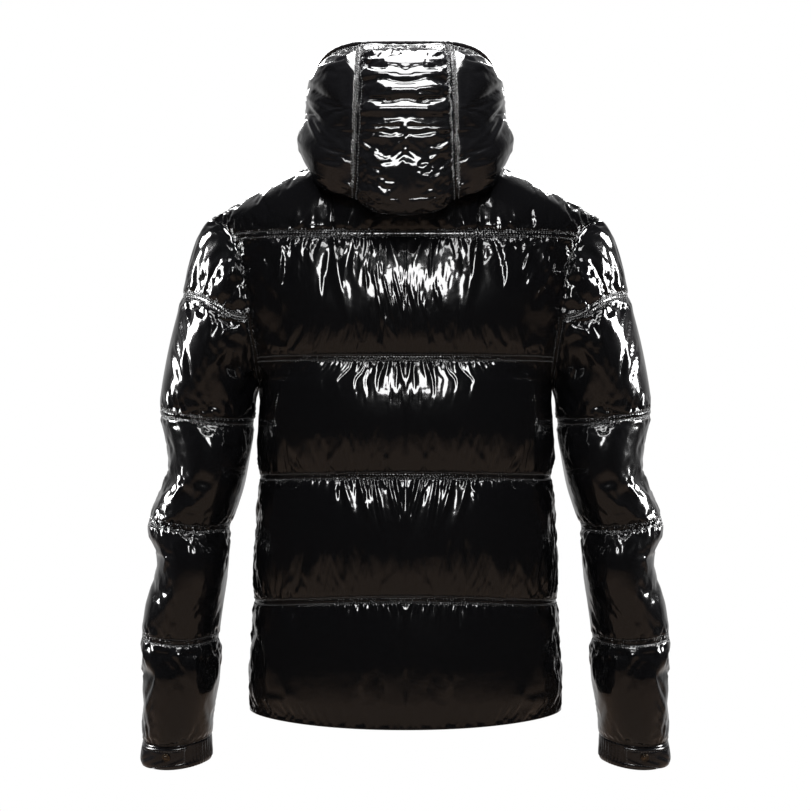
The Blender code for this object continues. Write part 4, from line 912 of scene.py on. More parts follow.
def placed_creases(panel, height, rows, rng):
    """Creases on both sides of the centre, as BACK_CREASES says."""
    stray = CREASE_STRAY
    for number, sign, x, length, lean, width, rise in rows:
        line = panel["lines"][number]
        away = sign * (panel["down"] - line)
        row = np.argmin(np.abs(panel["down"] - line).mean(axis=1))
        line_x, on_line = panel["outer"][row, :, 0], panel["along"][row]
        for side in (-1, 1):
            place = side * (x + rng.normal(0, stray["place"])) / 1000
            at = np.interp(place, line_x, on_line)
            leaning = -side * lean + rng.normal(0, stray["lean"])
            reach = length / 1000 * rng.uniform(*stray["length"])
            high = CREASE_RISE * rise / 1000 * rng.uniform(*stray["rise"])
            add_pucker(height, panel["along"], away, at, leaning, reach, width / 1000, high)


def drawn_folds(panel, height, rows, mirror=1, facing=1.0, lower=0.0):
    """Ridges between two places, as BACK_FOLDS says; mirror is -1 on the left."""
    x, z = mirror * panel["outer"][..., 0] * 1000, panel["outer"][..., 2] * 1000 + lower
    for x1, z1, x2, z2, width, rise in rows:
        way = np.array([x2 - x1, z2 - z1])
        length = np.hypot(*way)
        way = way / length
        t = ((x - x1) * way[0] + (z - z1) * way[1]) / length
        off = (x - x1) * way[1] - (z - z1) * way[0]
        lens = np.sin(math.pi * np.clip(t, 0, 1)) ** 0.8
        off = (off / (width * (0.45 + 0.55 * lens))) ** 2
        height += facing * rise / 1000 * lens * ridge(off)


def lift(panel, height, closed=False):
    """Raise the panel's outer points by the height of its folds."""
    panel["outer"] = panel["outer"] + grid_normals(panel["outer"], closed) * height[..., None]


# ---- shells ----
def picks(count, closed, step):
    """Every step-th point of an edge, with both its ends."""
    chosen = list(range(0, count, step))
    if not closed and chosen[-1] != count - 1:
        chosen.append(count - 1)
    return chosen


def strip(fine, coarse, chosen):
    """Faces between an edge of the outside and the coarser edge of the inside."""
    faces = []
    for k in range(len(coarse) - 1):
        low, high = chosen[k], chosen[k + 1]
        middle = (low + high) // 2
        faces += [(fine[i], fine[i + 1], coarse[k]) for i in range(low, middle)]
        faces.append((fine[middle], coarse[k + 1], coarse[k]))
        faces += [(fine[i], fine[i + 1], coarse[k + 1]) for i in range(middle, high)]
    return faces


def shell(name, panel, material, closed=False, step=6):
    """A panel as a closed wall, with fewer points on its plain inside."""
    outer, inner = panel["outer"], panel["inside"]
    rows, columns = outer.shape[:2]
    row_picks, column_picks = picks(rows, False, step), picks(columns, closed, step)
    ins_points = inner[row_picks][:, column_picks].reshape(-1, 3)
    out = numbered(rows, columns, closed)
    ins = numbered(len(row_picks), len(column_picks), closed, rows * columns)
    if closed:
        column_picks = column_picks + [columns]
    walls = quads(out) + quads(ins[:, ::-1])
    edges = [face[::-1] for face in strip(out[0], ins[0], column_picks)]
    edges += strip(out[-1], ins[-1], column_picks)
    if not closed:
        edges += strip(out[:, 0], ins[:, 0], row_picks)
        edges += [face[::-1] for face in strip(out[:, -1], ins[:, -1], row_picks)]
    faces = walls + [tuple(int(i) for i in face) for face in edges]
    mesh = bpy.data.meshes.new(name)
    mesh.from_pydata(np.concatenate([outer.reshape(-1, 3), ins_points]).tolist(), [], faces)
    mesh.polygons.foreach_set("use_smooth", np.arange(len(faces)) < len(walls))
    add_maps(mesh, panel, row_picks, column_picks[:-1] if closed else column_picks, closed)
    return jacket_piece(mesh, material)


def jacket_piece(mesh, material):
    """An object of the jacket's body from its mesh."""
    mesh.materials.append(material)
    mesh.update()
    obj = bpy.data.objects.new(mesh.name, mesh)
    bpy.context.scene.collection.objects.link(obj)
    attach(obj, "jacket")
    return obj


def add_maps(mesh, panel, row_picks, column_picks, closed):
    """A UV map in metres of cloth, and each point's distance from the stitches."""
    maps = [panel["along"], panel["down"]]
    points = np.stack([np.concatenate([m.ravel(), m[row_picks][:, column_picks].ravel()])
                       for m in maps], axis=-1)
    corners = np.zeros(len(mesh.loops), dtype=np.int64)
    mesh.loops.foreach_get("vertex_index", corners)
    uv = points[corners]
    if closed:
        starts = np.zeros(len(mesh.polygons), dtype=np.int64)
        mesh.polygons.foreach_get("loop_start", starts)
        most = np.maximum.reduceat(uv[:, 0], starts)
        sizes = np.diff(np.append(starts, len(corners)))
        around = panel["along"].max() * (1 + 1 / panel["along"].shape[1])
        far = np.repeat(most, sizes) - uv[:, 0] > around / 2
        uv[far, 0] += around
    layer = mesh.uv_layers.new(name="cloth")
    layer.data.foreach_set("uv", uv.ravel())
    near = stitch_distance(panel)
    near = np.concatenate([near.ravel(), near[row_picks][:, column_picks].ravel()])
    mesh.attributes.new("to_stitch", "FLOAT", "POINT").data.foreach_set("value", near)


def stitch_distance(panel):
    """Distance of each point from the nearest double row of stitches, at most a metre."""
    near = np.full(panel["down"].shape, 1.0)
    for line in panel["lines"]:
        near = np.minimum(near, np.abs(panel["down"] - line))
    if "seam" in panel:
        near = np.minimum(near, np.abs(panel["along"] - panel["seam"][:, None]))
    return near


def joined(left, right):
    """Two mirrored halves as one panel, which share the middle column."""
    whole = dict(right)
    for key in GRIDS:
        whole[key] = np.concatenate([left[key], right[key][:, 1:]], axis=1)
    whole["lines"] = [np.concatenate([a, b[1:]]) for a, b in zip(left["lines"], right["lines"])]
    return whole


def columns_of(panel, part):
    """Some of a panel's columns as a panel of their own."""
    piece = dict(panel)
    for key in GRIDS:
        piece[key] = panel[key][:, part]
    return piece


def turned_round(panel):
    """The same panel with its columns in the opposite order."""
    other = columns_of(panel, slice(None, None, -1))
    other["lines"] = [line[::-1] for line in panel["lines"]]
    return other


def flipped(panel, step=1):
    """The panel's points on the other side of the body; step is -1 to turn their columns round."""
    other = dict(panel)
    for key in ("inside", "outer"):
        other[key] = panel[key][:, ::step] * MIRROR
    return other


def mirrored(panel):
    """The same panel on the other side of the body."""
    other = flipped(turned_round(panel))
    for key in ("along", "across"):
        other[key] = -other[key]
    return other


# ---- stitches ----
STITCH_PITCH = 0.0034
# one stitch: its straight share, the dip of its ends and its height as shares of its radius, and
# how unevenly the stitches are spaced
STITCH = {"length": 0.0015, "radius": 0.00055, "sides": 5, "straight": 0.6, "dip": 0.8,
          "raised": 0.45, "uneven": 0.00012}
STITCH_LOOK = 0.0008  # how far before and behind a stitch the cloth's slope is taken


def stitch_shape():
    """Points and faces of one stitch along X, which dips in at both ends."""
    sides = STITCH["sides"]
    half, r = STITCH["length"] / 2, STITCH["radius"]
    turns = np.arange(sides) * 2 * math.pi / sides
    ring = np.stack([np.zeros(sides), np.cos(turns) * r, np.sin(turns) * r], axis=-1)
    straight, dip = half * STITCH["straight"], r * STITCH["dip"]
    rings = [ring + [x, 0, 0] for x in (-straight, straight)]
    points = np.concatenate([[[-half, 0, -dip]], *rings, [[half, 0, -dip]]])
    faces = []
    for j in range(sides):
        a, b = 1 + j, 1 + (j + 1) % sides
        faces += [(0, b, a), (a, b, b + sides, a + sides), (a + sides, b + sides, 2 * sides + 1)]
    return points, faces


def stitch_path(panel, target, key="down"):
    """Points and normals on the outside where the distance down or along the cloth has a value."""
    grids = (panel[key], panel["outer"], grid_normals(panel["outer"]))
    value, outer, facing = (g if key == "down" else g.swapaxes(0, 1) for g in grids)
    columns = np.arange(value.shape[1])
    row = np.clip(np.argmax(value >= target, axis=0), 1, len(value) - 1)
    low, high = value[row - 1, columns], value[row, columns]
    t = np.clip((target - low) / np.maximum(high - low, 1e-9), 0, 1)[:, None]
    blend = lambda grid: grid[row - 1, columns] * (1 - t) + grid[row, columns] * t
    return blend(outer), unit(blend(facing))


def stitch_row(points, facing, rng):
    """Middles and axes of the stitches along one row."""
    steps = arc_lengths(points, 0)
    at = np.arange(STITCH_PITCH / 2, steps[-1], STITCH_PITCH)
    at = at + rng.normal(0, STITCH["uneven"], len(at))
    pick = lambda place, grid: along_path(place, steps, grid)
    up = unit(pick(at, facing))
    along = unit(pick(at + STITCH_LOOK, points) - pick(at - STITCH_LOOK, points))
    side = unit(np.cross(up, along))
    middle = pick(at, points) + up * STITCH["radius"] * STITCH["raised"]
    return middle, along, side, np.cross(along, side)


def sew(name, rows, material, rng):
    """All the stitches of a piece, as one object."""
    shape, faces = stitch_shape()
    sets = [stitch_row(points, facing, rng) for points, facing in rows]
    middle, along, side, up = (np.concatenate([s[k] for s in sets]) for k in range(4))
    points = (middle[:, None] + along[:, None] * shape[None, :, :1]
              + side[:, None] * shape[None, :, 1:2] + up[:, None] * shape[None, :, 2:])
    count = len(shape)
    all_faces = [tuple(i + k * count for i in face) for k in range(len(middle)) for face in faces]
    return solid(name, points.reshape(-1, 3), all_faces, material)


def solid(name, points, faces, material, smooth_faces=True):
    """A piece of the jacket from its points and faces."""
    mesh = bpy.data.meshes.new(name)
    mesh.from_pydata(np.asarray(points).tolist(), [], faces)
    mesh.polygons.foreach_set("use_smooth", [smooth_faces] * len(faces))
    return jacket_piece(mesh, material)


def double_rows(panel, closed=False):
    """Both rows of stitches along each of a panel's lines."""
    rows = []
    for line in panel["lines"]:
        for side in (-STITCH_HALF, STITCH_HALF):
            points, facing = stitch_path(panel, line + side)
            if closed:
                points, facing = (np.concatenate([a, a[:1]]) for a in (points, facing))
            rows.append((points, facing))
    return rows


# ---- materials ----
def new_material(name, color=(0, 0, 0)):
    material = bpy.data.materials.new(name)
    material.use_nodes = True
    shader = material.node_tree.nodes["Principled BSDF"]
    shader.inputs["Base Color"].default_value = (*color, 1)
    return material, material.node_tree, shader


def node(tree, kind, **settings):
    made = tree.nodes.new(kind)
    for key, value in settings.items():
        setattr(made, key, value)
    return made


def object_place(tree):
    """Where a point lies on the piece, in metres."""
    return node(tree, "ShaderNodeTexCoord").outputs["Object"]


def maths(tree, operation, *values):
    made = node(tree, "ShaderNodeMath", operation=operation)
    for socket, value in zip(made.inputs, values):
        if isinstance(value, (int, float)):
            socket.default_value = value
        else:
            tree.links.new(value, socket)
    return made.outputs[0]


def noise(tree, vector, scale, detail=2.0, stretch=(1, 1, 1)):
    mapping = node(tree, "ShaderNodeMapping")
    mapping.inputs["Scale"].default_value = stretch
    tree.links.new(vector, mapping.inputs["Vector"])
    made = node(tree, "ShaderNodeTexNoise")
    made.inputs["Scale"].default_value = scale
    made.inputs["Detail"].default_value = detail
    tree.links.new(mapping.outputs[0], made.inputs["Vector"])
    return made.outputs["Fac"]


def fade(tree, value, start, end, low=0.0, high=1.0, kind="SMOOTHSTEP"):
    """The value from low to high while another goes from start to end."""
    made = node(tree, "ShaderNodeMapRange", interpolation_type=kind)
    tree.links.new(value, made.inputs["Value"])
    for key, number in (("From Min", start), ("From Max", end), ("To Min", low), ("To Max", high)):
        made.inputs[key].default_value = number
    return made.outputs[0]


def tones(tree, value, *stops):
    """Colour of a ramp with these positions and colours."""
    made = node(tree, "ShaderNodeValToRGB")
    elements = made.color_ramp.elements
    for element, (position, color) in zip(list(elements), (stops[0], stops[-1])):
        element.position, element.color = position, color
    for position, color in stops[1:-1]:
        elements.new(position).color = color
    tree.links.new(value, made.inputs["Fac"])
    return made.outputs["Color"]


def uneven_gloss(tree, shader, spots, low, high, start=0.3):
    """A roughness that drifts between two values over the surface."""
    tree.links.new(fade(tree, spots, start, 0.7, low, high), shader.inputs["Roughness"])


def bump(tree, height, distance, before=None):
    """A relief this many metres high, over another one."""
    made = node(tree, "ShaderNodeBump")
    made.inputs["Distance"].default_value = distance
    made.inputs["Strength"].default_value = 1.0
    tree.links.new(height, made.inputs["Height"])
    if before is not None:
        tree.links.new(before, made.inputs["Normal"])
    return made.outputs["Normal"]


# scales of the cloth's noises in waves a metre, metres from the stitches over which gathers and
# lines fade, and the height of the lines
NYLON = {"gloss": 9.0, "crumple": 26.0, "shift": 90.0, "uneven": 140.0, "lines": (120.0, 14.0, 1.0),
         "lines_across": (14.0, 120.0, 1.0), "gathered": (0.0008, 0.0030),
         "lined": (0.004, 0.032), "line_height": 0.0008}
GATHER_SHIFT = 9.0  # how far, in radians, the gathers stray from an even row


def coated_nylon(name, color, roughness, crumple, ticks, upright=True):
    """Wet-look coated cloth, with small creases all over and gathers at its stitches."""
    material, tree, shader = new_material(name, color)
    for key, value in (("IOR", 1.5), ("Specular IOR Level", 0.3), ("Coat Weight", 1.0),
                       ("Coat Roughness", 0.04)):
        shader.inputs[key].default_value = value
    place = object_place(tree)
    spots = noise(tree, place, NYLON["gloss"], 3.0)
    uneven_gloss(tree, shader, spots, roughness * 0.8, roughness * 1.3, 0.35)
    normal = bump(tree, noise(tree, place, NYLON["crumple"], 3.0), crumple)
    if ticks:
        cloth = node(tree, "ShaderNodeUVMap", uv_map="cloth").outputs[0]
        near = node(tree, "ShaderNodeAttribute", attribute_name="to_stitch").outputs["Fac"]
        split = node(tree, "ShaderNodeSeparateXYZ")
        tree.links.new(cloth, split.inputs[0])
        phase = maths(tree, "MULTIPLY", split.outputs["X" if upright else "Y"],
                      2 * math.pi / STITCH_PITCH)
        shift = maths(tree, "MULTIPLY", noise(tree, cloth, NYLON["shift"], 1.0), GATHER_SHIFT)
        wave = maths(tree, "SINE", maths(tree, "ADD", phase, shift))
        beside = maths(tree, "ABSOLUTE", maths(tree, "SUBTRACT", near, STITCH_HALF))
        gathered = fade(tree, beside, *NYLON["gathered"], 1.0, 0.0)
        uneven = fade(tree, noise(tree, cloth, NYLON["uneven"], 1.0), 0.38, 0.62, 0.25, 1.0)
        gathers = maths(tree, "MULTIPLY", maths(tree, "MULTIPLY", wave, gathered), uneven)
        normal = bump(tree, gathers, ticks, normal)
        lines = noise(tree, cloth, 1.0, 2.0, NYLON["lines" if upright else "lines_across"])
        ridges = maths(tree, "ABSOLUTE", maths(tree, "SUBTRACT", lines, 0.5))
        lined = maths(tree, "MULTIPLY", ridges, fade(tree, near, *NYLON["lined"], 1.0, 0.0))
        normal = bump(tree, lined, NYLON["line_height"], normal)
    tree.links.new(normal, shader.inputs["Normal"])
    tree.links.new(normal, shader.inputs["Coat Normal"])
    return material


def thread_material():
    material, tree, shader = new_material("polyester_thread", (0.10, 0.10, 0.102))
    twist = noise(tree, object_place(tree), 900.0, 1.0)
    uneven_gloss(tree, shader, twist, 0.2, 0.38)
    tree.links.new(bump(tree, twist, 0.0002), shader.inputs["Normal"])
    return material


def tape_material():
    material, tree, shader = new_material("woven_zip_tape")
    place = object_place(tree)
    weave = node(tree, "ShaderNodeTexWave", wave_type="BANDS", bands_direction="Z")
    weave.inputs["Scale"].default_value = 260.0
    weave.inputs["Distortion"].default_value = 0.6
    tree.links.new(place, weave.inputs["Vector"])
    color = tones(tree, weave.outputs["Fac"], (0.0, (0.006, 0.006, 0.006, 1)),
                  (1.0, (0.022, 0.022, 0.023, 1)))
    tree.links.new(color, shader.inputs["Base Color"])
    uneven_gloss(tree, shader, noise(tree, place, 300.0), 0.6, 0.8)
    tree.links.new(bump(tree, weave.outputs["Fac"], 0.0003), shader.inputs["Normal"])
    return material


def plastic_material():
    material, tree, shader = new_material("zip_teeth_resin", (0.01, 0.01, 0.011))
    uneven_gloss(tree, shader, noise(tree, object_place(tree), 60.0), 0.22, 0.38)
    return material


def metal_material():
    """Dark antique plating with brass showing through where it has rubbed."""
    material, tree, shader = new_material("dark_antique_metal")
    shader.inputs["Metallic"].default_value = 1.0
    place = object_place(tree)
    worn = noise(tree, place, 420.0, 3.0)
    color = tones(tree, worn, (0.42, (0.11, 0.10, 0.09, 1)), (0.72, (0.30, 0.24, 0.17, 1)))
    tree.links.new(color, shader.inputs["Base Color"])
    uneven_gloss(tree, shader, noise(tree, place, 150.0), 0.2, 0.36)
    return material


def floor_material():
    material, tree, shader = new_material("pale_paper", (0.86, 0.86, 0.86))
    uneven_gloss(tree, shader, noise(tree, object_place(tree), 3.0), 0.75, 0.85)
    return material


# ---- light and camera ----
HOOD_PIECES = ("padded_hood", "stitches_hood", "binding")
SLEEVE_PIECES = ("padded_sleeve", "stitches_sleeve", "cuff")
# place, aim, width and height, watts, shape, and its flags: it lights only the pieces whose names
# start so, or (False) all but those
SOFTBOXES = {
    "main": ((0.06, -2.2, 1.05), (0, -0.12, -0.2), (0.64, 0.95), 26, "ELLIPSE", HOOD_PIECES, False),
    "wide": ((0.0, -2.2, 1.15), (0, -0.12, 0.0), (2.2, 0.6), 72, "RECTANGLE", HOOD_PIECES, True),
    "high": ((0.0, -1.35, 1.75), (0, -0.1, -0.2), (1.5, 0.5), 22, "RECTANGLE", HOOD_PIECES, False),
    "hood": ((0.0, -0.25, 1.95), (0, -0.13, 0.1), (1.5, 2.4), 165, "RECTANGLE", HOOD_PIECES, True),
    "rim": ((0.0, 0.93, 1.36), (0, -0.10, 0.13), (5.0, 3.2), 620, "RECTANGLE", "binding", True),
    "left": ((-1.9, 0.3, 0.3), (-0.3, 0, -0.3), (0.6, 1.05), 56, "RECTANGLE", SLEEVE_PIECES, True),
    "right": ((1.9, 0.3, 0.3), (0.3, 0, -0.3), (0.6, 1.05), 56, "RECTANGLE", SLEEVE_PIECES, True),
    "front": ((0.0, 2.3, 0.9), (0, 0, -0.3), (1.5, 0.8), 24, "RECTANGLE", None, None),
}
FLOOR_LIGHT = ((0.0, 0.0, 2.6), (0, 0, -1), (4.0, 4.0), 200, "RECTANGLE", "floor", True)
FLOOR = {"size": 4.6, "height": -1.25}
CAMERA = {"away": 2.8, "height": -0.293, "sensor": 36, "seen": 0.98942}  # the sensor in millimetres
# colour of the dark room by height, from straight down (0) to straight up (1)
ROOM = ((0.0, (0.20, 0.15, 0.115, 1)), (0.26, (0.21, 0.150, 0.112, 1)),
        (0.35, (0.11, 0.078, 0.058, 1)), (0.42, (0.014, 0.012, 0.011, 1)),
        (0.70, (0.010, 0.010, 0.011, 1)), (1.0, (0.03, 0.03, 0.034, 1)))
FAR_WALL = {"from": 0.45, "to": 0.95, "light": 0.35}


def softbox(name, place, aim, size, power, shape, pieces, chosen):
    """A softbox, with flags that keep its light to some of the pieces."""
    data = bpy.data.lights.new("softbox_" + name, "AREA")
    data.shape = shape
    data.size, data.size_y = size
    data.energy = power
    lamp = bpy.data.objects.new("softbox_" + name, data)
    bpy.context.scene.collection.objects.link(lamp)
    lamp.location = place
    way = Vector(aim) - Vector(place)
    lamp.rotation_euler = way.to_track_quat("-Z", "Y").to_euler()
    lamp.visible_camera = False
    if pieces:
        group = bpy.data.collections.new(lamp.name + "_reach")
        for obj in bpy.context.scene.objects:
            if obj.type == "MESH" and obj.name.startswith(pieces) == chosen:
                group.objects.link(obj)
        lamp.light_linking.receiver_collection = group


def build_world():
    """White to the camera, and in reflections a dark room with a brown floor and a pale wall."""
    world = bpy.data.worlds.new("studio")
    bpy.context.scene.world = world
    world.use_nodes = True
    tree = world.node_tree
    back = tree.nodes["Background"]
    out = next(n for n in tree.nodes if n.type == "OUTPUT_WORLD")
    white = node(tree, "ShaderNodeBackground")
    white.inputs["Color"].default_value = (1, 1, 1, 1)
    split = node(tree, "ShaderNodeSeparateXYZ")
    tree.links.new(node(tree, "ShaderNodeTexCoord").outputs["Generated"], split.inputs[0])
    room = tones(tree, fade(tree, split.outputs["Z"], -1.0, 1.0, kind="LINEAR"), *ROOM)
    wall = fade(tree, split.outputs["Y"], FAR_WALL["from"], FAR_WALL["to"], 0.0, FAR_WALL["light"])
    far = node(tree, "ShaderNodeMixRGB", blend_type="ADD")
    far.inputs["Fac"].default_value = 1.0
    tree.links.new(room, far.inputs["Color1"])
    tree.links.new(wall, far.inputs["Color2"])
    tree.links.new(far.outputs[0], back.inputs["Color"])
    rays = node(tree, "ShaderNodeLightPath")
    mix = node(tree, "ShaderNodeMixShader")
    tree.links.new(rays.outputs["Is Camera Ray"], mix.inputs[0])
    tree.links.new(back.outputs[0], mix.inputs[1])
    tree.links.new(white.outputs[0], mix.inputs[2])
    tree.links.new(mix.outputs[0], out.inputs["Surface"])


def build_studio():
    """The room and its softboxes, then the floor with a lamp of its own."""
    build_world()
    for name, settings in SOFTBOXES.items():
        softbox(name, *settings)
    bpy.ops.mesh.primitive_plane_add(size=FLOOR["size"], location=(0, 0, FLOOR["height"]))
    floor = bpy.context.active_object
    floor.name = "floor"
    floor.data.materials.append(floor_material())
    floor.visible_glossy = False
    softbox("floor", *FLOOR_LIGHT)


def build_camera():
    """A camera level with the jacket's middle, straight behind it."""
    data = bpy.data.cameras.new("camera")
    data.sensor_width = CAMERA["sensor"]
    data.lens = CAMERA["sensor"] * CAMERA["away"] / CAMERA["seen"]
    camera = bpy.data.objects.new("camera", data)
    camera.location = (0, -CAMERA["away"], CAMERA["height"])
    camera.rotation_euler = (math.pi / 2, 0, 0)
    bpy.context.scene.collection.objects.link(camera)
    bpy.context.scene.camera = camera


# ---- the padded pieces ----
# rows of puckers: their step, least and greatest length, and height
SHORT_PUCKERS = (0.0080, (0.007, 0.016), 0.0009)
LONG_PUCKERS = (0.0120, (0.018, 0.065), 0.0019)
LONG_FAN = 0.1  # how far the fronts' long puckers lean to the middle
ARMHOLE_PUCKERS = (0.009, (0.008, 0.030), 0.0013)
SIDE_PUCKERS = (0.007, (0.006, 0.020), 0.0011)
ARMHOLE_CLEAR = {"low": 0.02, "high": 0.01}  # left plain at the armhole's ends
SIDE_CLEAR = 0.03  # left plain above the hem
CUFF_PUCKERS = (0.0080, (0.006, 0.030), 0.0012)
HOOD_PUCKERS = ((0.0052, (0.006, 0.018), 0.0014), (0.0110, (0.012, 0.034), 0.0016))
# of the sleeve: above (-1) or below (1) its lines, their lean to the inner edge, and the row
SLEEVE_PUCKERS = (
    (-1, 0.35, (0.0100, (0.012, 0.034), 0.0016)), (-1, 0.35, (0.0065, (0.005, 0.014), 0.0013)),
    (1, -0.35, (0.0130, (0.016, 0.040), 0.0013)), (1, 0.0, (0.0065, (0.005, 0.014), 0.0013)),
)
SLEEVE_FOLDS_AT = {"back": (-0.35, 0.05), "front": (-0.05, 0.35), "starts": (0.1, 0.4)}
HOOD_FOLDS_AT = {"puckers": 5.5, "starts": (5.0, 6.5), "ends": (11.6, 12.0)}  # levels
HOOD_SIDE_FOLD = {"lean": 0.25, "length": 0.022}
# the level from which the hood's stitches show, and their distances below the rim
HOOD_STITCHES = {"from": 5.6, "centre": (0.030, 0.0095), "rim": 0.004}


def build_body(seams, cloth, thread):
    """The back in one piece and the two fronts."""
    half = body_panel(-1, seams)
    back = joined(mirrored(half), half)
    front = turned_round(body_panel(1, seams))
    middle = np.exp(-(back["across"] / CENTRE_SMOOTH["width"]) ** 2)
    blow_up("back", back, kept=1 - CENTRE_SMOOTH["share"] * middle)
    blow_up("front", front)
    refine(back, False)
    refine(front, False)
    for name, panel, seed in (("back", back, 11), ("front_right", front, 12),
                              ("front_left", mirrored(front), 13)):
        rng = np.random.default_rng(seed)
        lift(panel, body_puckers(panel, rng, name == "back"))
        piece = shell("padded_" + name, panel, cloth, step=6)
        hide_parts(name)
        sew("stitches_" + name, double_rows(panel), thread, rng)


def body_puckers(panel, rng, is_back):
    """Heights of the gathers and folds of the back or a front."""
    height = np.zeros(panel["down"].shape)
    for line in panel["lines"]:
        for side in (-1, 1):
            pucker_line(panel, height, line, side, rng, *SHORT_PUCKERS)
            if not is_back:
                pucker_line(panel, height, line, side, rng, *LONG_PUCKERS, fan=LONG_FAN)
    if is_back:
        placed_creases(panel, height, BACK_CREASES, rng)
        drawn_folds(panel, height, BACK_FOLDS)
    edges = ((0, 1), (-1, -1))  # the first and last columns, and the ways inwards from them
    if not is_back:
        edges = edges[:1] if panel["across"][0, 0] > 0.5 else edges[1:]
    armpit = np.interp(ARMPIT, panel["station"][:, 0], panel["down"][:, 0])
    for column, inward in edges:
        edge, top = panel["along"][:, column], panel["down"][-1, column]
        edge_puckers(panel, height, edge, inward, armpit + ARMHOLE_CLEAR["low"],
                     top - ARMHOLE_CLEAR["high"], rng, *ARMHOLE_PUCKERS)
        edge_puckers(panel, height, edge, inward, SIDE_CLEAR, armpit, rng, *SIDE_PUCKERS)
    return height * (1 - np.abs(panel["across"]) ** 24)


def build_sleeves(seams, cloth, thread):
    """Both sleeves, from the same tube, each with puckers of its own."""
    sleeve = sleeve_panel(seams)
    blow_up("sleeve", sleeve, closed=True)
    refine(sleeve, True)
    turned = turned_round(sleeve)
    turned["along"] = -turned["along"] - (-turned["along"]).min()
    for name, panel, seed, side in (("sleeve_right", turned, 21, 1),
                                    ("sleeve_left", flipped(sleeve), 22, -1)):
        rng = np.random.default_rng(seed)
        height = np.zeros(panel["down"].shape)
        for line in panel["lines"]:
            for sign, lean, row in SLEEVE_PUCKERS:
                pucker_line(panel, height, line, sign, rng, *row, -side * lean)
        pucker_line(panel, height, panel["down"][-1], -1, rng, *CUFF_PUCKERS)
        around = np.sin(panel["across"])
        drawn_folds(panel, height, SLEEVE_FOLDS, side, ramp(around, *SLEEVE_FOLDS_AT["back"]))
        drawn_folds(panel, height, SLEEVE_FOLDS, side, ramp(-around, *SLEEVE_FOLDS_AT["front"]),
                    FRONT_FOLDS_LOWER)
        lift(panel, height * ramp(panel["station"], *SLEEVE_FOLDS_AT["starts"]), True)
        piece = shell("padded_" + name, panel, cloth, closed=True, step=6)
        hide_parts(name)
        sew("stitches_" + name, double_rows(panel, True), thread, rng)


def build_hood(seams, cloth, thread):
    """The hood's centre panel and its two sides."""
    half = hood_panel(seams)
    middle = columns_of(half, slice(0, CENTRE_POINTS + 1))
    side = columns_of(half, slice(CENTRE_POINTS, None))
    side["along"] = side["along"] - side["along"][:, :1]
    side["seam"] = np.zeros(len(side["along"]))
    middle["seam"] = middle["along"][:, -1]
    centre = joined(mirrored(middle), middle)
    blow_up("hood_centre", centre, wrinkled_along=0)
    blow_up("hood_side", side, wrinkled_along=0)
    for panel in (centre, side):
        refine(panel, False)
    for name, panel, seed in (("hood_centre", centre, 31), ("hood_side_right", side, 32),
                              ("hood_side_left", mirrored(side), 33)):
        rng = np.random.default_rng(seed)
        lift(panel, hood_puckers(panel, name, rng))
        piece = shell("padded_" + name, panel, cloth, step=3)
        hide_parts(name)
        sew("stitches_" + name, hood_rows(panel, name), thread, rng)


def hood_puckers(panel, name, rng):
    """Heights of the hood's gathers and folds."""
    height = np.zeros(panel["down"].shape)
    down = panel["down"][:, panel["down"].shape[1] // 2]
    start = np.interp(HOOD_FOLDS_AT["puckers"], panel["station"][:, 0], down)
    edges = ((panel["along"][:, 0], 1), (panel["along"][:, -1], -1))
    if name == "hood_centre":
        cross_folds(panel, height, HOOD_FOLDS)
    else:
        edges = edges[:1] if name == "hood_side_right" else edges[1:]
    for edge, inward in edges:
        for row in HOOD_PUCKERS:
            edge_puckers(panel, height, edge, inward, start, down[-1], rng, *row)
    if name != "hood_centre":
        ((seam, inward),) = edges
        away = inward * (panel["along"] - seam[:, None])
        for at, reach, width, rise in HOOD_SIDE_FOLDS:
            off = panel["down"] - panel["down"][-1] * at - HOOD_SIDE_FOLD["lean"] * (away - reach)
            along = (away - reach) / HOOD_SIDE_FOLD["length"]
            height += rise * np.exp(-(off / width) ** 2) * np.exp(-(along**2))
    fade_in = ramp(panel["station"], *HOOD_FOLDS_AT["starts"])
    return height * (fade_in * (1 - ramp(panel["station"], *HOOD_FOLDS_AT["ends"])))


def hood_rows(panel, name):
    """Stitches beside the seams and below the rim."""
    visible = slice(int(np.argmax(panel["station"][:, 0] > HOOD_STITCHES["from"])), None)
    trim = lambda path: tuple(grid[visible] for grid in path)
    rows = []
    if name == "hood_centre":
        for sign in (-1, 1):
            rows.append(trim(stitch_path(panel, sign * (panel["seam"] - STITCH_HALF), "along")))
        for below in HOOD_STITCHES["centre"]:
            rows.append(stitch_path(panel, panel["down"][-1] - below))
    else:
        sign = -1 if name == "hood_side_left" else 1
        beside = sign * STITCH_HALF * np.ones(len(panel["along"]))
        rows.append(trim(stitch_path(panel, beside, "along")))
    rows.append(stitch_path(panel, panel["down"][-1] - HOOD_STITCHES["rim"]))
    return rows


# ---- trims ----
# the hood's binding, which is squarer than an ellipse and stands above the rim
BINDING = {"width": 0.0122, "thickness": 0.0062, "rings": 460, "sides": 16, "square": 0.7,
           "above": 0.0006, "below_rim": 0.2}
# its gathers: first, step, width, size, how they turn round it, and how they swell it
BINDING_GATHER = {"first": 0.003, "step": (0.005, 0.011), "width": (0.0012, 0.0028),
                  "size": (0.4, 1.0), "turn": 0.5, "skew": 0.002, "least": 0.92, "swell": 0.14}
# the cuff band: its ribs, from the elastic inside it, with angles in radians, and its filling
CUFF = {"columns": 301, "rows": 37, "rib": 0.0016, "rib_width": (0.018, 0.034),
        "rib_step": (0.07, 0.14), "rib_size": (0.5, 1.0), "least": 0.25, "elastic": (-0.35, 0.15),
        "fill": 0.0010}
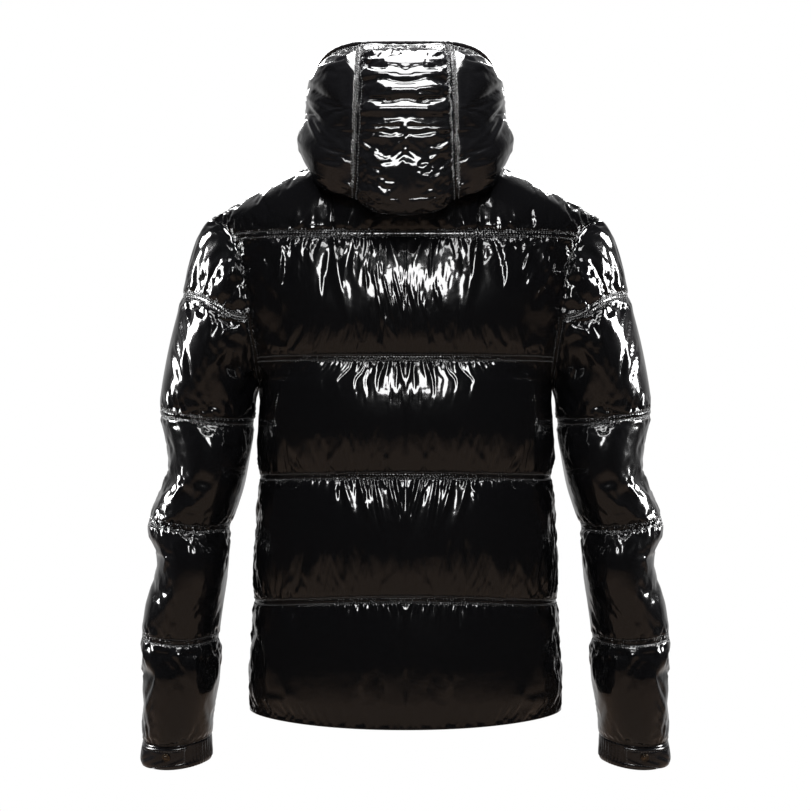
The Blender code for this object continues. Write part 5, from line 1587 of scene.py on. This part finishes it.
# the cuff's closing tab: angles round the sleeve, shares of the cuff's height, and metres
TAB = {"from": 22.0, "to": 112.0, "high": 0.10, "low": 0.93, "thickness": 0.0018, "lift": 0.0006,
       "edge": 0.0016, "stitched": 0.0032, "columns": 73, "rows": 31, "dent": 0.0004,
       "dent_width": 0.0006, "ripple": 0.0003}
TAB_FLATTENS = {"before": 14, "after": 10}  # degrees beside the tab over which the cuff lies flat
SNAP = {"angle": 80.0, "share": 0.42, "radius": 0.0050, "base": 0.0011, "above": 0.0001,
        "tip": (0.0012, 0.0003), "bevel": 0.00018}
SNAP_STEPS = ((0.0007, 0.0009), (0.0009, -0.0004), (0.0006, 0.0007))  # inset and rise of each
# a tooth of the zip, how far it stands out, and how far it reaches past the middle
TOOTH = {"pitch": 0.0023, "length": 0.0034, "width": 0.0017, "height": 0.0012, "taper": 0.0003,
         "end": 0.006, "lift": 0.0020, "locked": 0.0006, "apart": -0.0003}
SLIDER = {"height": -0.004, "clear": 0.0085}  # z of its middle, and half the length without teeth
TAPE = {"gap": 0.00015, "edge": 0.0004, "lift": 0.0004, "thickness": 0.0010, "cord": 0.0005,
        "cord_at": 0.0012, "cord_width": 0.0008}
FRONT_ROWS, FRONT_LEVELS, FRONT_START = 160, 40, 0.3  # points up the middle of the front


def build_binding(cloth):
    """The gathered binding round the hood's rim."""
    count, sides = BINDING["rings"], BINDING["sides"]
    share = np.linspace(-1, 1, count)
    rim = hood_surface(share, np.full(count, RIM))
    below = hood_surface(share, np.full(count, RIM - BINDING["below_rim"]))
    upward = unit(rim - below)
    outward = hood_normals(share, np.full(count, RIM))
    middles = rim + outward * WALL / 2 + upward * (BINDING["width"] / 2 + BINDING["above"])
    rng = np.random.default_rng(41)
    length = arc_lengths(middles, 0)
    turns = np.arange(sides) * 2 * math.pi / sides
    rings = np.zeros((count, sides))
    gather = BINDING_GATHER
    at = gather["first"]
    while at < length[-1]:
        width, turn = rng.uniform(*gather["width"]), rng.normal(0, gather["turn"])
        off = length[:, None] - at - gather["skew"] * np.sin(turns + turn)
        size = rng.uniform(*gather["size"])
        rings += np.exp(-(off / width) ** 2) * size * (0.7 + 0.3 * np.cos(2 * turns + turn))
        at += rng.uniform(*gather["step"])
    grow = gather["least"] + gather["swell"] * rings
    cosine, sine = np.cos(turns), np.sin(turns)
    across = np.sign(cosine) * np.abs(cosine) ** BINDING["square"] * BINDING["thickness"] / 2
    along = np.sign(sine) * np.abs(sine) ** BINDING["square"] * BINDING["width"] / 2
    points = middles[:, None] + grow[..., None] * (outward[:, None] * across[None, :, None]
                                                   + upward[:, None] * along[None, :, None])
    faces = quads(numbered(count, sides, True))
    faces += [tuple(range(sides))[::-1], tuple((count - 1) * sides + j for j in range(sides))]
    piece = solid("binding", points.reshape(-1, 3), faces, cloth)
    recalculate(piece)
    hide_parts("hood_binding")


def recalculate(obj):
    """Turn a closed piece's faces outwards."""
    shape = bmesh.new()
    shape.from_mesh(obj.data)
    bmesh.ops.recalc_face_normals(shape, faces=shape.faces)
    shape.to_mesh(obj.data)
    shape.free()


def build_cuffs(cloth):
    """The cuff bands, ribbed by their elastic but for the flat part under the tab."""
    turns = np.linspace(0, 2 * math.pi, CUFF["columns"])[:-1][::-1]
    turn, station = np.meshgrid(turns, np.linspace(CUFF_SEAM, CUFF_END, CUFF["rows"]))
    inside = sleeve_surface(turn, station)
    out = sleeve_normals(turn, station)
    share = station - CUFF_SEAM
    rng = np.random.default_rng(51)
    wave = np.zeros(turn.shape)
    at = 0.0
    while at < 2 * math.pi:
        wide = rng.uniform(*CUFF["rib_width"])
        off = (turn - at + 0.03 * np.sin(3 * share + at) + math.pi) % (2 * math.pi) - math.pi
        wave += rng.uniform(*CUFF["rib_size"]) * np.exp(-((off / wide) ** 2))
        at += rng.uniform(*CUFF["rib_step"])
    degrees = np.degrees(turn)
    under_tab = ramp(degrees, TAB["from"] - TAB_FLATTENS["before"], TAB["from"])
    under_tab = under_tab * (1 - ramp(degrees, TAB["to"], TAB["to"] + TAB_FLATTENS["after"]))
    elastic = CUFF["least"] + (1 - CUFF["least"]) * ramp(-np.cos(turn), *CUFF["elastic"])
    elastic = elastic * (1 - under_tab)
    across = np.sin(math.pi * np.clip(share, 0.03, 0.97)) ** 0.5
    thick = WALL + CUFF["rib"] * wave * elastic * across
    thick += CUFF["fill"] * np.sin(math.pi * share) ** 0.6 * (1 - 0.8 * under_tab)
    around = arc_lengths(np.concatenate([inside, inside[:, :1]], axis=1), 1)
    panel = {"inside": inside, "outer": inside + out * thick[..., None],
             "down": arc_lengths(inside, 0), "along": around[:, :-1], "lines": []}
    for name, grid in (("cuff_right", panel), ("cuff_left", flipped(panel, -1))):
        piece = shell(name + "_band", grid, cloth, closed=True, step=4)
        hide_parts(name)


def cuff_station(share):
    """The station at a share of the way down the cuff."""
    stations = np.linspace(CUFF_SEAM, CUFF_END, 81)
    path = sleeve_surface(np.full(len(stations), math.radians(SNAP["angle"])), stations)
    steps = arc_lengths(path, 0)
    return np.interp(np.asarray(share) * steps[-1], steps, stations)


def build_tabs(cloth, thread):
    """The tab on the back of each cuff, with stitches inside its edges."""
    turns = np.radians(np.linspace(TAB["to"], TAB["from"], TAB["columns"]))
    shares = np.linspace(TAB["high"], TAB["low"], TAB["rows"])
    turn, station = np.meshgrid(turns, cuff_station(shares))
    inside = sleeve_surface(turn, station)
    out = sleeve_normals(turn, station)
    down, along = arc_lengths(inside, 0), arc_lengths(inside, 1)
    edge = np.minimum(np.minimum(down, down[-1] - down), np.minimum(along, along[:, -1:] - along))
    thick = TAB["thickness"] * (0.35 + 0.65 * ramp(edge, 0.0, TAB["edge"]) ** 0.6)
    thick -= TAB["dent"] * np.exp(-((edge - TAB["stitched"]) / TAB["dent_width"]) ** 2)
    ripples = np.sin(along * 310 + 4 * np.sin(down * 190))
    thick += TAB["ripple"] * ripples * ramp(edge, 0.001, 0.005)
    under = inside + out * (WALL + TAB["lift"])
    panel = {"inside": under, "outer": under + out * thick[..., None], "down": down,
             "along": along, "lines": []}
    for name, grid in (("cuff_tab_right", panel), ("cuff_tab_left", flipped(panel, -1))):
        piece = shell(name + "_cloth", grid, cloth, step=4)
        recalculate(piece)
        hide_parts(name)
        rows = [stitch_path(grid, np.full(grid["down"].shape[1], TAB["stitched"])),
                stitch_path(grid, grid["down"][-1] - TAB["stitched"])]
        for target in (np.full(len(down), TAB["stitched"]), grid["along"][:, -1] - TAB["stitched"]):
            rows.append(stitch_path(grid, target, "along"))
        sew("stitches_" + name, rows, thread, np.random.default_rng(61))


def build_snaps(metal):
    """A round snap on each tab: a base, a raised rim, a hollow and a low dome in it."""
    turn = np.radians(np.array([SNAP["angle"]]))
    station = cuff_station(np.array([SNAP["share"]]))
    out = sleeve_normals(turn, station)[0]
    foot = sleeve_surface(turn, station)[0] + out * (WALL + TAB["lift"] + TAB["thickness"])
    for name, side in (("cuff_snap_right", 1.0), ("cuff_snap_left", -1.0)):
        bpy.ops.object.select_all(action="DESELECT")
        bpy.ops.mesh.primitive_cylinder_add(vertices=32, radius=SNAP["radius"], depth=SNAP["base"],
                                            location=(0, 0, 0))
        snap = bpy.context.active_object
        snap.name = name + "_metal"
        bpy.ops.object.mode_set(mode="EDIT")
        bpy.ops.mesh.select_mode(type="FACE")
        bpy.ops.mesh.select_all(action="DESELECT")
        shape = bmesh.from_edit_mesh(snap.data)
        for face in shape.faces:
            face.select_set(face.normal.z > 0.9)
        bmesh.update_edit_mesh(snap.data)
        for narrower, higher in SNAP_STEPS:
            bpy.ops.mesh.inset(thickness=narrower)
            bpy.ops.mesh.extrude_region_move(TRANSFORM_OT_translate={"value": (0, 0, higher)})
        bpy.ops.mesh.inset(thickness=SNAP["tip"][0])
        bpy.ops.transform.translate(value=(0, 0, SNAP["tip"][1]))
        bpy.ops.object.mode_set(mode="OBJECT")
        bevel = snap.modifiers.new("edges", "BEVEL")
        bevel.width, bevel.segments, bevel.limit_method = SNAP["bevel"], 2, "ANGLE"
        bpy.ops.object.modifier_apply(modifier="edges")
        bpy.ops.object.shade_smooth_by_angle(angle=math.radians(40))
        mirror = np.array([side, 1.0, 1.0])
        facing = Vector(out * mirror)
        snap.rotation_euler = facing.to_track_quat("Z", "Y").to_euler()
        snap.location = Vector((foot + out * (SNAP["base"] / 2 + SNAP["above"])) * mirror)
        bpy.ops.object.transform_apply(location=True, rotation=True, scale=True)
        snap.data.materials.append(metal)
        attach(snap, "jacket")
        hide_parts(name)


def centre_front():
    """Points up the middle of the front, with the directions along and out."""
    rows = np.linspace(0, TOP, FRONT_ROWS)
    low = body_surface(1, np.zeros(FRONT_ROWS), rows)
    levels = np.linspace(FRONT_START, RIM, FRONT_LEVELS)
    points = np.concatenate([low, hood_surface(np.ones(FRONT_LEVELS), levels)])
    points[:, 0] = 0.0
    along = unit(np.gradient(points, axis=0))
    return points, along, np.cross(along, np.array([1.0, 0, 0]))


def build_teeth(resin):
    """The moulded teeth, which lock from the hem up to the slider."""
    points, along, outward = centre_front()
    steps = arc_lengths(points, 0)
    at = np.arange(TOOTH["end"], steps[-1] - TOOTH["end"], TOOTH["pitch"])
    up, out = (unit(along_path(at, steps, grid)) for grid in (along, outward))
    place = along_path(at, steps, points) + out * TOOTH["lift"]
    clear = np.abs(place[:, 2] - SLIDER["height"]) > SLIDER["clear"]
    corners, faces = [], []
    for k in np.flatnonzero(clear):
        sign = 1 if k % 2 else -1
        reach = TOOTH["locked"] if place[k, 2] < SLIDER["height"] else TOOTH["apart"]
        for level, narrow in ((0.0, 0.0), (TOOTH["height"], TOOTH["taper"])):
            for x, z in ((-reach + narrow, -0.5), (-reach + narrow, 0.5),
                         (TOOTH["length"] - narrow, 0.5), (TOOTH["length"] - narrow, -0.5)):
                rise = z * (TOOTH["width"] - 2 * narrow)
                corners.append(place[k] + up[k] * rise + out[k] * level
                               + np.array([sign * x, 0, 0]))
        i = len(corners) - 8
        sides = [(i, i + 1, i + 5, i + 4), (i + 1, i + 2, i + 6, i + 5),
                 (i + 2, i + 3, i + 7, i + 6), (i + 3, i, i + 4, i + 7),
                 (i + 4, i + 5, i + 6, i + 7), (i + 3, i + 2, i + 1, i)]
        faces += sides if sign < 0 else [side[::-1] for side in sides]
    piece = solid("zip_teeth", corners, faces, resin, smooth_faces=False)
    recalculate(piece)


def build_tapes(tape):
    """The woven tapes of the zip, each with a cord beside the teeth."""
    points, _, outward = (grid[1:-1, None] for grid in centre_front())
    reach = np.linspace(TAPE["gap"], ZIP_EDGE - TAPE["edge"], 11)
    cord = np.exp(-((reach - TAPE["cord_at"]) / TAPE["cord_width"]) ** 2)
    thick = TAPE["thickness"] + TAPE["cord"] * cord
    for name, sign in (("zip_tape_right", 1.0), ("zip_tape_left", -1.0)):
        under = points + outward * TAPE["lift"] + np.stack([sign * reach, 0 * reach, 0 * reach], -1)
        panel = {"inside": under, "outer": under + outward * thick[None, :, None],
                 "down": arc_lengths(under, 0), "along": arc_lengths(under, 1), "lines": []}
        piece = shell(name + "_woven", panel, tape, step=1)
        recalculate(piece)
        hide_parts(name)


def finish_cad_nodes(cloth, tape, metal):
    """Give the CAD's own pieces, such as the slider, their finishes."""
    finishes = {"black_nylon": cloth, "binding_tape": cloth, "zip_tape": tape,
                "dark_metal": metal}
    slots = {part["node"]: part["material_slot"] for part in frame["record"]["subparts"]}
    for name, obj in frame["nodes"].items():
        for number in range(len(obj.material_slots)):
            obj.material_slots[number].material = finishes[slots[name]]


# colour, roughness, and the heights of the crumples and of the gathers beside the stitches
SHINY = {"color": (0.004, 0.004, 0.0045), "roughness": 0.16, "crumple": 0.0012, "ticks": 0.0009}
SHINY_HOOD = dict(SHINY, crumple=0.0014, ticks=0.0010, upright=False)
TRIM = {"color": (0.006, 0.006, 0.007), "roughness": 0.26, "crumple": 0.0005, "ticks": 0.0}


def main():
    cloth = coated_nylon("black_coated_nylon", **SHINY)
    plain = coated_nylon("black_nylon_trim", **TRIM)
    tape, metal = tape_material(), metal_material()
    thread, resin = thread_material(), plastic_material()
    finish_cad_nodes(plain, tape, metal)
    seams = make_seams()
    build_body(seams, cloth, thread)
    build_sleeves(seams, cloth, thread)
    build_hood(seams, coated_nylon("black_coated_nylon_hood", **SHINY_HOOD), thread)
    build_binding(plain)
    build_cuffs(plain)
    build_tabs(plain, thread)
    build_snaps(metal)
    build_tapes(tape)
    build_teeth(resin)
    build_studio()
    build_camera()
    bpy.context.scene.view_settings.view_transform = "Standard"


main()
